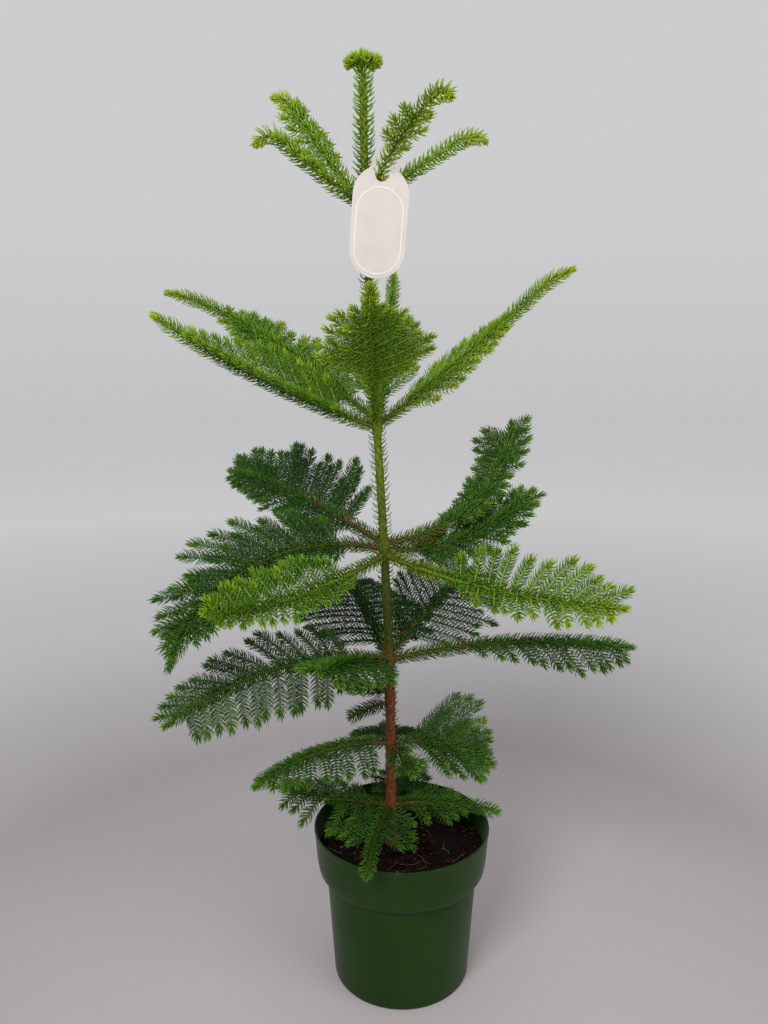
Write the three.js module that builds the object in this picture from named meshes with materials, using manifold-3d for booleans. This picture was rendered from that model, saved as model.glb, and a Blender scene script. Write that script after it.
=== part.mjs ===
// A young Norfolk Island pine in a round plastic pot. Millimetres, +Z up, front towards -Y.
// The origin is the centre of the pot's flat underside.
//
// The plant is a straight trunk with six whorls of boughs. A bough is a wooden limb that ends where
// its foliage begins. The foliage of a bough is one solid: a three-sided stem that grows on from the
// limb, with flat sprays of side twigs to its left and right. A spray is a toothed blade with a ridge,
// each tooth standing for a few needles.

import * as THREE from "three";
import { mergeVertices } from "three/addons/utils/BufferGeometryUtils.js";
import Module from "manifold-3d";

const wasm = await Module();
wasm.setup();

// ---------------------------------------------------------------- driving dimensions

const SEAT = 0.3; // clearance between pieces that touch
const TWIG_CLEAR = 1; // least distance from a spray to any other piece

const POT = {
  height: 186,
  baseRadius: 80.5,
  shoulderRadius: 89.5, // body, just under the collar
  collarFoot: 133, // height of the collar's lower edge
  collarRadius: 98, // at the collar's lower edge
  rimRadius: 103.6,
  wall: 1.8,
  floor: 2.4,
  drainRadius: 6,
  drainCircle: 52,
  drains: 6,
  sides: 32,
};

const SOIL = { top: 160, edgeTop: 157, flat: 28, sides: 32 };

const TRUNK = {
  footX: -12.5,
  lean: 6, // even lean towards -X over the whole height
  bend: 24, // further bend towards -X, between the two heights below
  bendFrom: 300,
  bendTo: 980,
  top: 957,
  footRadius: 6.2,
  topRadius: 3.9,
  flare: 3.2, // added to the radius at the soil
  flareHeight: 7,
  sides: 8,
};

// The leader is the young shoot on top of the trunk. Its head is the next whorl, still folded.
const LEADER = {
  tip: 1041,
  headHeight: 1027, // where its twigs start
  headTwigs: 8,
  headLength: 17,
  headRise: 0.3, // slope of a head twig at its start
  headDroop: 0.4, // how far its tip then drops, as a share of its length
  headHalfWidth: 8,
};

// A card label with a hooked end, hung on one bough of the top whorl.
const TAG = {
  bough: "a3",
  along: 50.5, // how far out on the bough it hangs
  width: 58,
  height: 112,
  shoulder: 1.5, // from the middle of the eye up to the card's top
  thickness: 0.8,
  hookRadius: 12,
  eyeRadius: 7.3,
  eyeDrop: 7.3, // how far the eye runs down into the card as a slot
  slit: 2.5, // opening in the hook
  slitAngle: 8, // degrees above level
  tilt: 4.3, // degrees, its top towards +X
  hang: [-2.3, -2.6], // eye centre from the bough's axis, so that the hook rests on the bough
};

// What the boughs of a whorl share. Pairs in reach, forks and lifts are for the side twigs on the
// bough's left and on its right, and within forks and lifts for its first and its last twig.
// height    on the trunk, which a bough can shift a little
// limb      length of the bare limb before the foliage starts, 0 where it starts at the trunk
// radius    of the limb at the trunk
// curl      degrees that the slope falls by over the last fifth of the bough
// spread    longest side twig, 0 where it has none
// reach     share of the spread that the twigs of each side have
// zone      share of the bough's length that carries side twigs, from and to
// peak      share of that stretch where the twigs are longest
// tipShare  length of the last twig, as a share of the longest
// forks     angle between bough and twig
// lifts     how far the twigs are raised out of the level, in degrees
// sag       how far a twig's tip drops, as a share of its length
// wings     edges of the spray that ends the bough: 2 is flat, 3 stands out all round
const EVEN = { reach: [1, 1], curl: 0, lifts: [[0, 0], [0, 0]] };
const WHORLS = {
  a: {
    ...EVEN, height: 885, limb: 14, radius: 1.8, spread: 26, curl: 45,
    zone: [0.35, 0.85], peak: 0.3, tipShare: 0.6, forks: [[45, 40], [45, 40]], sag: -0.1, wings: 3,
  },
  b: {
    ...EVEN, height: 658, limb: 28, radius: 2.6, spread: 60,
    zone: [0.14, 0.68], peak: 0.15, tipShare: 0.2, forks: [[52, 42], [52, 42]], sag: -0.05, wings: 3,
  },
  c: {
    ...EVEN, height: 520, limb: 34, radius: 2.9, spread: 64,
    zone: [0.16, 0.93], peak: 0.4, tipShare: 0.45, forks: [[72, 45], [72, 45]], sag: 0.1, wings: 2,
  },
  d: {
    ...EVEN, height: 389, limb: 34, radius: 2.9, spread: 60,
    zone: [0.16, 0.93], peak: 0.4, tipShare: 0.45, forks: [[80, 55], [80, 55]], sag: 0.12, wings: 2,
  },
  e: {
    ...EVEN, height: 287, limb: 0, radius: 2.8, spread: 46,
    zone: [0.16, 0.9], peak: 0.35, tipShare: 0.45, forks: [[80, 50], [80, 50]], sag: 0.1, wings: 2,
  },
  f: {
    ...EVEN, height: 209, limb: 0, radius: 2.4, spread: 40,
    zone: [0.16, 0.9], peak: 0.35, tipShare: 0.45, forks: [[75, 55], [75, 55]], sag: 0.1, wings: 2,
  },
};

// One bough each: turn is the way it leaves the trunk (degrees, 0 is +X, 90 is +Y, 270 the front),
// sweep how far it has swung round by its tip, and rise and end its slope at the trunk and at its tip.
const BOUGHS = [
  { name: "a1", turn: 208, sweep: -10, rise: 29, end: 37, length: 136, curl: 95, spread: 20,
    forks: [[60, 50], [60, 50]], lifts: [[-25, -25], [30, 30]] },
  { name: "a2", turn: 139, sweep: 7, rise: 45, end: 54, length: 186,
    forks: [[65, 55], [75, 60]], lifts: [[-45, -45], [0, 0]] },
  { name: "a3", height: 883, limb: 58, turn: 319, sweep: -25, rise: 64, end: 3, length: 176,
    spread: 25, zone: [0.36, 0.72], tipShare: 0.3, forks: [[75, 60], [75, 60]] },
  { name: "a4", height: 887, turn: 20, sweep: 20, rise: 37, end: 28, length: 179, spread: 0 },
  { name: "b1", height: 655, turn: 203, sweep: -6, rise: 19, end: 34, length: 260, spread: 54,
    zone: [0.14, 0.86], forks: [[52, 42], [75, 50]], lifts: [[0, 0], [50, 40]] },
  { name: "b2", height: 662, turn: 153, sweep: 16, rise: 37, end: 24, length: 296, curl: 15,
    reach: [0.75, 1], zone: [0.14, 0.74], tipShare: 0.35, forks: [[72, 55], [92, 70]],
    lifts: [[-35, -35], [18, 18]] },
  { name: "b3", turn: 264, sweep: 9, rise: 50, end: 28, length: 215, spread: 64,
    reach: [1, 0.85], zone: [0.28, 0.92], peak: 0.1, tipShare: 0.05,
    forks: [[74, 56], [74, 56]], lifts: [[5, 5], [5, 5]] },
  { name: "b4", turn: 80, sweep: 6, rise: 46, end: 48, length: 240,
    lifts: [[10, 10], [10, 10]] },
  { name: "b5", turn: 0, sweep: -4, rise: 34, end: 48, length: 264, curl: 25, spread: 50,
    reach: [1, 0.8], lifts: [[20, 20], [-35, -35]] },
  { name: "c1", height: 525, turn: 150, sweep: -18, rise: 25, end: 2, length: 268, spread: 80,
    reach: [0.55, 1], peak: 0.15, forks: [[70, 50], [92, 45]], lifts: [[-25, -25], [50, 50]] },
  { name: "c2", height: 519, turn: 186, sweep: 64, rise: 14, end: -49, length: 299, spread: 76,
    reach: [0.65, 1], tipShare: 0.15, forks: [[75, 60], [78, 45]], lifts: [[-15, -15], [62, 10]],
    sag: 0.15 },
  { name: "c3", height: 513, turn: 224, sweep: 20, rise: -17, end: 16, length: 275, spread: 50,
    reach: [0.6, 1], zone: [0.22, 0.95], peak: 0.3, tipShare: 0.35, forks: [[75, 60], [95, 60]],
    lifts: [[-5, -55], [60, 75]] },
  { name: "c4", height: 526, turn: 5, sweep: 65, rise: 6, end: 60, length: 245, spread: 40,
    reach: [1, 0.85], zone: [0.3, 0.95], peak: 0.8, tipShare: 0.8, forks: [[72, 85], [72, 45]],
    lifts: [[10, 10], [0, 0]] },
  { name: "c5", height: 519, radius: 2.4, turn: 8, sweep: 12, rise: -8, end: 46, length: 196,
    spread: 46, lifts: [[35, 35], [-10, -10]] },
  { name: "c6", height: 513, radius: 2.7, turn: 320, sweep: 11, rise: -11, end: 4, length: 280,
    spread: 60, reach: [1, 0.6], zone: [0.36, 0.94], peak: 0.35, forks: [[102, 44], [75, 55]],
    lifts: [[85, 55], [-5, -40]] },
  { name: "d1", turn: 199, sweep: 10, rise: 14, end: -30, length: 265,
    reach: [0.85, 1], tipShare: 0.5, forks: [[88, 80], [85, 45]], lifts: [[-55, -55], [40, 20]] },
  { name: "d2", height: 384, turn: 243, sweep: 15, rise: 22, end: 12, length: 205, spread: 42,
    lifts: [[-10, -45], [0, 0]] },
  { name: "d3", turn: 5, sweep: 6, rise: 12, end: -12, length: 298, spread: 44,
    zone: [0.3, 0.95], forks: [[80, 60], [80, 72]], lifts: [[-15, -20], [0, -50]] },
  { name: "d4", height: 395, turn: 60, sweep: 0, rise: 18, end: 8, length: 235, spread: 70,
    forks: [[85, 60], [80, 55]], lifts: [[55, 55], [-15, -15]] },
  { name: "d5", height: 388, turn: 104, sweep: 0, rise: 16, end: 6, length: 225, spread: 86,
    forks: [[85, 60], [80, 55]], lifts: [[10, -5], [0, 0]], sag: 0.25 },
  { name: "e1", turn: 206, sweep: 4, rise: 15, end: -25, length: 172, spread: 52,
    reach: [1, 0.8], peak: 0.1, forks: [[90, 65], [90, 65]], lifts: [[-20, 0], [-15, -15]] },
  { name: "e2", turn: 15, sweep: 0, rise: 2, end: -40, length: 142, spread: 92,
    reach: [1, 0.75], peak: 0.05, tipShare: 0, forks: [[54, 46], [80, 45]],
    lifts: [[66, 60], [-10, -10]] },
  { name: "e3", turn: 300, sweep: 0, rise: -10, end: -20, length: 58, spread: 24 },
  { name: "e4", turn: 95, sweep: 0, rise: -5, end: -25, length: 100 },
  { name: "f1", turn: 175, sweep: -9, rise: 1, end: 8, length: 139,
    forks: [[85, 70], [75, 55]], lifts: [[-35, -35], [10, 10]] },
  { name: "f2", turn: 357, sweep: 14, rise: 9, end: -22, length: 132, spread: 36,
    zone: [0.15, 0.6], lifts: [[10, 10], [-5, -5]] },
  { name: "f3", turn: 253, sweep: 12, rise: 0, end: -4, length: 140, spread: 50,
    zone: [0.1, 0.5], forks: [[75, 60], [75, 60]] },
  { name: "f4", turn: 80, sweep: 0, rise: 5, end: -10, length: 105 },
  { name: "d6", height: 349, limb: 0, radius: 1.8, turn: 166, sweep: 0, rise: 8, end: -6,
    length: 52, spread: 0, zone: [0.4, 0.9] },
  { name: "d7", height: 338, limb: 0, radius: 1.8, turn: 196, sweep: 0, rise: -8, end: -24,
    length: 50, spread: 0, zone: [0.4, 0.9] },
];

const TWIG = {
  pitch: 14, // between side twigs on one side of a bough
  every: 2, // one solid spray stands for this many twigs
  halfWidth: 9.5, // needle tip to needle tip is twice this
  core: 1.6, // half the thickness of a spray, at its ridge
  toothPitch: 18.5,
  forward: 0.12, // how far a twig curls towards its bough's tip, as a share of its length
  roll: 28, // degrees, most that a spray is turned about its own length
  rootDepth: 1, // how far a root goes past the middle of its stem
  shortest: 14,
};

const STEM = { sides: 3, tipRadius: 1.3 };
const CURL_FROM = 0.8; // share of a bough's length where its curl starts

// ---------------------------------------------------------------- small tools

const radians = THREE.MathUtils.degToRad;
const lerp = THREE.MathUtils.lerp;
const UP = new THREE.Vector3(0, 0, 1);

// A small seeded random number generator (mulberry32): the same numbers on every run.
function randomFrom(seed) {
  let state = seed >>> 0;
  return () => {
    state = (state + 0x6d2b79f5) >>> 0;
    let t = state;
    t = Math.imul(t ^ (t >>> 15), t | 1);
    t ^= t + Math.imul(t ^ (t >>> 7), t | 61);
    return ((t ^ (t >>> 14)) >>> 0) / 4294967296;
  };
}

function solidOf(geometry) {
  const bare = geometry.clone();
  bare.deleteAttribute("normal");
  bare.deleteAttribute("uv");
  const merged = mergeVertices(bare, 1e-4);
  return new wasm.Manifold(
    new wasm.Mesh({
      numProp: 3,
      vertProperties: new Float32Array(merged.attributes.position.array),
      triVerts: new Uint32Array(merged.index.array),
    }),
  );
}

function geometryOf(solid) {
  const { vertProperties, triVerts } = solid.getMesh();
  const geometry = new THREE.BufferGeometry();
  geometry.setAttribute("position", new THREE.BufferAttribute(vertProperties, 3));
  geometry.setIndex(new THREE.BufferAttribute(triVerts, 1));
  geometry.computeVertexNormals();
  return geometry;
}

function geometryFrom(points, faces) {
  const geometry = new THREE.BufferGeometry();
  const places = points.flatMap((point) => point.toArray());
  geometry.setAttribute("position", new THREE.Float32BufferAttribute(places, 3));
  geometry.setIndex(faces.flat());
  return geometry;
}

// The largest body of a joined solid: loose scraps and sealed hollows are left behind.
function mainBody(solid) {
  return solid.decompose().reduce((a, b) => (b.volume() > a.volume() ? b : a));
}

// ---------------------------------------------------------------- limbs

function trunkAt(z) {
  const share = (z - SOIL.top) / (LEADER.tip - SOIL.top);
  const bend = THREE.MathUtils.smoothstep(z, TRUNK.bendFrom, TRUNK.bendTo);
  return new THREE.Vector3(TRUNK.footX - TRUNK.lean * share - TRUNK.bend * bend, 0, z);
}

function trunkRadius(z) {
  const share = THREE.MathUtils.clamp((z - SOIL.top) / (TRUNK.top - SOIL.top), 0, 1);
  const flare = TRUNK.flare * Math.exp(-(z - SOIL.top) / TRUNK.flareHeight);
  return lerp(TRUNK.topRadius, TRUNK.footRadius, (1 - share) ** 2) + flare;
}

// A closed tapering limb with flat ends through rings of { centre, side, up, radius }.
function loft(rings, sides) {
  const points = rings.flatMap(({ centre, side, up, radius }) =>
    Array.from({ length: sides }, (_, i) => {
      const angle = (i / sides) * 2 * Math.PI;
      return centre
        .clone()
        .addScaledVector(side, radius * Math.cos(angle))
        .addScaledVector(up, radius * Math.sin(angle));
    }),
  );
  const faces = [];
  for (let ring = 0; ring + 1 < rings.length; ring++) {
    for (let i = 0; i < sides; i++) {
      const [a, b] = [ring * sides + i, ring * sides + ((i + 1) % sides)];
      faces.push([a, b, b + sides], [a, b + sides, a + sides]);
    }
  }
  const last = (rings.length - 1) * sides;
  for (let i = 1; i + 1 < sides; i++) {
    faces.push([0, i + 1, i], [last, last + i, last + i + 1]);
  }
  return geometryFrom(points, faces);
}

function trunkRings(heights, extra) {
  const [side, up] = [new THREE.Vector3(1, 0, 0), new THREE.Vector3(0, 1, 0)];
  return heights.map((z) => ({ centre: trunkAt(z), side, up, radius: trunkRadius(z) + extra }));
}

// The curve of a bough, from the trunk's axis. Its slope and direction change evenly along it, and
// its slope falls further where it curls.
function boughCurve(bough) {
  const steps = 16;
  const step = bough.length / steps;
  const points = [trunkAt(bough.height)];
  for (let i = 0; i < steps; i++) {
    const share = (i + 0.5) / steps;
    const curled = bough.curl * Math.max(0, (share - CURL_FROM) / (1 - CURL_FROM));
    const slope = radians(lerp(bough.rise, bough.end, share) - curled);
    const turn = radians(bough.turn + bough.sweep * share);
    const ahead = new THREE.Vector3(
      Math.cos(slope) * Math.cos(turn),
      Math.cos(slope) * Math.sin(turn),
      Math.sin(slope),
    );
    points.push(points[i].clone().addScaledVector(ahead, step));
  }
  return new THREE.CatmullRomCurve3(points);
}

// Place on a bough: its centre there, the way it runs, and its left and upper directions.
function placeOn(bough, share) {
  const centre = bough.curve.getPointAt(share);
  const along = bough.curve.getTangentAt(share);
  const side = new THREE.Vector3().crossVectors(UP, along).normalize();
  return { centre, along, side, up: new THREE.Vector3().crossVectors(along, side) };
}

// Rings of the bough's limb or stem. One vertex of each ring is at its top.
function boughRings(bough, from, to, count) {
  return Array.from({ length: count }, (_, i) => {
    const share = lerp(from, to, i / (count - 1));
    const { centre, side, up } = placeOn(bough, share);
    return { centre, side: up, up: side.negate(), radius: lerp(bough.radius, STEM.tipRadius, share) };
  });
}

// ---------------------------------------------------------------- sprays

// A spray of needles along at(share): a slim core with two or three toothed wings, whose teeth lean
// forward. Its root is a point at rootAt, inside the stem that carries it, and its tip is a point.
function spray(at, across, halfWidth, teeth, wings, rootAt) {
  const points = [];
  const add = (centre, frame, radius, angle) =>
    points.push(
      centre
        .clone()
        .addScaledVector(frame.side, radius * Math.cos(angle))
        .addScaledVector(frame.normal, radius * Math.sin(angle)),
    ) - 1;
  const frameAt = (share) => {
    const along = at(Math.min(1, share + 0.02)).sub(at(Math.max(0, share - 0.02))).normalize();
    const normal = new THREE.Vector3().crossVectors(along, across).normalize();
    return { centre: at(share), side: new THREE.Vector3().crossVectors(normal, along), normal };
  };
  const swell = (share) => 1 - 0.4 * share ** 4;
  const wingAngles = Array.from({ length: wings }, (_, j) => (j / wings) * 2 * Math.PI);
  const hollowAngles = wingAngles.map((angle) => angle + Math.PI / wings);
  const root = points.push(rootAt) - 1;
  const tip = points.push(at(1)) - 1;

  const edges = wingAngles.map(() => []); // outline of each wing: notch, tooth, notch, tooth ... tip
  const hollows = []; // points between the wings, at every second notch
  for (let i = 0; i < teeth; i++) {
    const here = frameAt(i / teeth);
    const ahead = frameAt((i + 0.78) / teeth);
    if (i % 2 === 0) {
      const radius = TWIG.core * (1 - (0.5 * i) / teeth);
      hollows.push(hollowAngles.map((angle) => add(here.centre, here, radius, angle)));
    }
    wingAngles.forEach((angle, j) => {
      edges[j].push(add(here.centre, here, halfWidth * 0.3, angle));
      edges[j].push(add(ahead.centre, ahead, halfWidth * swell((i + 1) / teeth), angle));
    });
  }
  edges.forEach((edge) => edge.push(tip));

  const faces = [];
  edges.forEach((edge, j) => {
    const before = (j + wings - 1) % wings;
    faces.push([root, hollows[0][j], edge[0]], [root, edge[0], hollows[0][before]]);
    hollows.forEach((ring, r) => {
      const next = hollows[r + 1];
      const stop = next ? 4 * (r + 1) : edge.length - 1;
      for (let e = 4 * r; e < stop; e++) {
        faces.push([ring[j], edge[e + 1], edge[e]], [ring[before], edge[e], edge[e + 1]]);
      }
      if (next) faces.push([ring[j], next[j], edge[stop]], [ring[before], edge[stop], next[before]]);
    });
  });
  return solidOf(geometryFrom(points, faces));
}

// Length of a side twig as a share of its bough's longest, at a share of the stretch that has twigs.
function twigShare({ peak, tipShare }, u) {
  if (u < peak) return lerp(0.6, 1, Math.sin((Math.PI / 2) * (u / peak)));
  return lerp(tipShare, 1, Math.cos((Math.PI / 2) * ((u - peak) / (1 - peak))));
}

// The side twigs of a bough, by a seeded rule: where each one starts, the way it grows, and its length.
function twigsOf(bough) {
  const random = randomFrom(bough.seed);
  const count = Math.floor(((bough.zone[1] - bough.zone[0]) * bough.length) / TWIG.pitch);
  const twigs = [];
  for (const [side, way] of [1, -1].entries()) {
    const [forks, lifts] = [bough.forks[side], bough.lifts[side]];
    const longest = bough.spread * bough.reach[side];
    for (let k = 0; k < count; k++) {
      const u = (k + (way > 0 ? 0.25 : 0.75) + 0.3 * (random() - 0.5)) / count;
      const length = longest * twigShare(bough, u) * (0.88 + 0.24 * random());
      const fork = radians(lerp(...forks, u) + 8 * (random() - 0.5));
      const roll = radians(TWIG.roll * 2 * (random() - 0.5));
      if (length < TWIG.shortest) continue;
      const lift = radians(lerp(...lifts, u));
      const { centre, along, side: left, up } = placeOn(bough, lerp(...bough.zone, u));
      const out = left.multiplyScalar(way * Math.cos(lift)).addScaledVector(up, Math.sin(lift));
      const ahead = along.clone().multiplyScalar(Math.cos(fork)).addScaledVector(out, Math.sin(fork));
      twigs.push({ k, centre, along, ahead, length, roll, sag: bough.sag });
    }
  }
  return twigs;
}

// The curve of a side twig: it starts along `ahead`, curls forward and sags.
function twigPoint({ centre, along, ahead, length, sag }, share) {
  return centre
    .clone()
    .addScaledVector(ahead, length * share)
    .addScaledVector(along, length * TWIG.forward * share * share)
    .addScaledVector(UP, -length * sag * share * share);
}

function twigSpray(twig) {
  const neck = Math.min(0.25, 9 / twig.length); // the teeth start this far out
  const at = (share) => twigPoint(twig, lerp(neck, 1, share));
  const across = twig.along.clone().applyAxisAngle(twig.ahead, twig.roll);
  const teeth = Math.max(2, Math.round(twig.length / TWIG.toothPitch));
  const root = twig.centre.clone().addScaledVector(twig.ahead, -TWIG.rootDepth);
  return spray(at, across, TWIG.halfWidth, teeth, 2, root);
}

// The spray that ends a bough, over the stretch past its side twigs.
function endSpray(bough, from) {
  const at = (share) => bough.curve.getPointAt(lerp(from, 1, share));
  const teeth = Math.round(((1 - from) * bough.length) / TWIG.toothPitch);
  const root = bough.curve.getPointAt(from - 8 / bough.length);
  return spray(at, placeOn(bough, from).side, TWIG.halfWidth, teeth, bough.wings, root);
}

// ---------------------------------------------------------------- the plant

const boughs = BOUGHS.map((own, i) => {
  const bough = { ...WHORLS[own.name[0]], ...own, seed: 101 + 17 * i };
  return { ...bough, curve: boughCurve(bough) };
});

const trunkHeights = [SOIL.top + SEAT, 164, 171, 185, 230, 389, 520, 658, 760, 860, 920, TRUNK.top];
const trunkSolid = solidOf(loft(trunkRings(trunkHeights, 0), TRUNK.sides));
const trunkSpace = solidOf(loft(trunkRings([SOIL.top - 5, ...trunkHeights.slice(1)], SEAT), TRUNK.sides));

const MATERIALS = {
  bark: new THREE.MeshStandardMaterial({ color: 0x7a4a2c, roughness: 0.85, metalness: 0 }),
  limb: new THREE.MeshStandardMaterial({ color: 0x6b7a34, roughness: 0.75, metalness: 0 }),
  needles: new THREE.MeshStandardMaterial({ color: 0x3f8a2c, roughness: 0.6, metalness: 0 }),
  plastic: new THREE.MeshStandardMaterial({ color: 0x2f6b33, roughness: 0.5, metalness: 0 }),
  soil: new THREE.MeshStandardMaterial({ color: 0x1d1511, roughness: 1, metalness: 0 }),
  card: new THREE.MeshStandardMaterial({ color: 0xd9cdc4, roughness: 0.9, metalness: 0 }),
};

const plant = new THREE.Group();
const made = []; // every finished solid, with its box

function keep(name, solid, material) {
  made.push({ name, solid, box: solid.boundingBox() });
  const mesh = new THREE.Mesh(geometryOf(solid), material);
  mesh.name = name;
  plant.add(mesh);
}

// Whether a solid comes nearer than `clear` to any of the others.
function isNear(solid, others, clear) {
  const box = solid.boundingBox();
  return others.some((other) => {
    const apart = [0, 1, 2].some(
      (i) => box.min[i] > other.box.max[i] + clear || box.max[i] < other.box.min[i] - clear,
    );
    return !apart && solid.minGap(other.solid, 2 * clear) < clear;
  });
}

// Round pot with a deep collar, a flat underside and drain holes.
function potSolid() {
  const { height, baseRadius, shoulderRadius, collarFoot, collarRadius, rimRadius, wall, floor } = POT;
  const edge = 3; // rounding of the bottom edge
  const outer = [
    [baseRadius - edge, 0],
    [baseRadius, edge],
    [shoulderRadius, collarFoot],
    [collarRadius, collarFoot + 1],
    [collarRadius + 2.4, collarFoot + 14],
    [rimRadius, height],
  ];
  const inner = [
    [rimRadius - wall, height],
    [collarRadius + 2.4 - wall, collarFoot + 14],
    [collarRadius - wall, collarFoot + 1 + wall],
    [shoulderRadius - wall, collarFoot + wall],
    [baseRadius - wall, floor],
  ];
  const outline = [[0, 0], ...outer, ...inner, [0, floor]].map(([x, y]) => new THREE.Vector2(x, y));
  const holes = Array.from({ length: POT.drains }, (_, i) => {
    const angle = (i / POT.drains) * 2 * Math.PI;
    const hole = new THREE.CylinderGeometry(POT.drainRadius, POT.drainRadius, 3 * floor, 8);
    hole.rotateX(Math.PI / 2);
    hole.translate(POT.drainCircle * Math.cos(angle), POT.drainCircle * Math.sin(angle), floor / 2);
    return solidOf(hole);
  });
  const turned = solidOf(new THREE.LatheGeometry(outline, POT.sides).rotateX(Math.PI / 2));
  return wasm.Manifold.difference([turned, ...holes]);
}

// Potting soil up to a little under the rim, clear of the pot all round, level round the trunk.
function soilSolid() {
  const { baseRadius, shoulderRadius, collarFoot, collarRadius, wall, floor } = POT;
  const inside = (radius) => (radius - wall) * Math.cos(Math.PI / POT.sides) - SEAT;
  const outline = [
    [0, floor + SEAT],
    [inside(baseRadius), floor + SEAT],
    [inside(shoulderRadius), collarFoot + wall + 2 * SEAT],
    [inside(collarRadius), collarFoot + 1 + wall + 2 * SEAT],
    [inside(collarRadius + 2), SOIL.edgeTop],
    [SOIL.flat, SOIL.top],
    [0, SOIL.top],
  ].map(([x, y]) => new THREE.Vector2(x, y));
  return solidOf(new THREE.LatheGeometry(outline, SOIL.sides).rotateX(Math.PI / 2));
}

// The leader's stem and spray, with the short drooping twigs of its head round its top.
function leaderSolid() {
  const { tip, headHeight, headTwigs, headLength, headRise, headDroop, headHalfWidth } = LEADER;
  const start = TRUNK.top + SEAT;
  const [side, up] = [new THREE.Vector3(1, 0, 0), new THREE.Vector3(0, 1, 0)];
  const radius = trunkRadius(start);
  const stem = [start, start + 12].map((z) => ({ centre: trunkAt(z), side, up, radius }));
  const shoot = (share) => trunkAt(lerp(start + 11, tip, share));
  const parts = [
    solidOf(loft(stem, STEM.sides)),
    spray(shoot, side, TWIG.halfWidth, 4, 3, trunkAt(start + 4)),
  ];
  for (let i = 0; i < headTwigs; i++) {
    const out = new THREE.Vector3(1, 0, 0).applyAxisAngle(UP, ((i + 0.3) / headTwigs) * 2 * Math.PI);
    const twig = (share) =>
      trunkAt(headHeight)
        .addScaledVector(out, headLength * share)
        .addScaledVector(UP, headLength * (headRise * share - headDroop * share * share));
    const across = new THREE.Vector3().crossVectors(UP, out);
    parts.push(spray((share) => twig(lerp(0.1, 1, share)), across, headHalfWidth, 2, 2, twig(-0.1)));
  }
  return mainBody(wasm.Manifold.union(parts));
}

// A slab in the XZ plane, from an outline, its middle at y = 0.
function slab(outline, thickness, segments) {
  const options = { depth: thickness, bevelEnabled: false, curveSegments: segments };
  const geometry = new THREE.ExtrudeGeometry(outline, options).translate(0, 0, -thickness / 2);
  return solidOf(geometry.rotateX(Math.PI / 2));
}

// The label, about its eye: a card with round ends, a hook round the eye, and the hook's opening.
function tagSolid(bough) {
  const { width, height, shoulder, thickness, hookRadius, eyeRadius, eyeDrop } = TAG;
  const { slit, slitAngle, tilt, hang, along } = TAG;
  const stadium = (radius, high, low) =>
    new THREE.Shape()
      .absarc(0, high, radius, 0, Math.PI, false)
      .absarc(0, low, radius, Math.PI, 2 * Math.PI, false);
  const round = width / 2;
  const card = stadium(round, shoulder - round, shoulder - height + round);
  const hook = new THREE.Shape().absarc(0, 0, hookRadius, 0, 2 * Math.PI, false);
  const opening = new THREE.BoxGeometry(hookRadius * 1.5, 3 * thickness, slit);
  opening.translate(hookRadius * 0.75, 0, 0).rotateY(-radians(slitAngle));
  const solid = wasm.Manifold.difference([
    slab(card, thickness, 8).add(slab(hook, thickness, 12)),
    slab(stadium(eyeRadius, 0, -eyeDrop), 3 * thickness, 6),
    solidOf(opening),
  ]);
  const at = bough.curve.getPointAt(along / bough.length);
  return solid.rotate([0, tilt, 0]).translate([at.x + hang[0], at.y, at.z + hang[1]]);
}

keep("trunk", trunkSolid, MATERIALS.bark);
keep("pot", potSolid(), MATERIALS.plastic);
keep("soil", soilSolid(), MATERIALS.soil);
keep("foliage_leader", leaderSolid(), MATERIALS.needles);
keep("hang_tag", tagSolid(boughs.find(({ name }) => name === TAG.bough)), MATERIALS.card);

for (const bough of boughs.filter(({ limb }) => limb > 0)) {
  const rings = boughRings(bough, 0, bough.limb / bough.length, bough.limb > 20 ? 3 : 2);
  const limb = solidOf(loft(rings, 5)).subtract(trunkSpace);
  keep("bough_" + bough.name, mainBody(limb), MATERIALS.limb);
}

for (const bough of boughs) {
  const others = made.filter(({ name }) => name !== "bough_" + bough.name);
  const start = bough.limb > 0 ? (bough.limb + SEAT) / bough.length : 0;
  const bare = bough.spread ? bough.zone[1] - 0.03 : bough.zone[0] - 0.1;
  const end = Math.min(bare, 1 - 40 / bough.length);
  const stem = solidOf(loft(boughRings(bough, start, end + 4 / bough.length, 7), STEM.sides));
  const twigs = bough.spread ? twigsOf(bough).filter(({ k }) => k % TWIG.every === 0) : [];
  const sprays = [endSpray(bough, end), ...twigs.map(twigSpray)];
  const clear = sprays.filter((solid) => !isNear(solid, others, TWIG_CLEAR));
  const joined = wasm.Manifold.union([stem, ...clear]);
  const solid = bough.limb > 0 ? joined : joined.subtract(trunkSpace);
  keep("foliage_" + bough.name, mainBody(solid), MATERIALS.needles);
}

export default plant;
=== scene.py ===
# A young Norfolk Island pine in its plastic pot. The trunk, the boughs and their side twigs grow by the
# rules of the part's source, with further twigs between them, and needles stand on all of them.
# Tables and rules are in millimetres, meshes in metres.

import math
from collections import namedtuple
from types import SimpleNamespace as Sizes

import bmesh
import bpy
import numpy as np
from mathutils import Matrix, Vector
from mathutils.geometry import delaunay_2d_cdt


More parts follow.
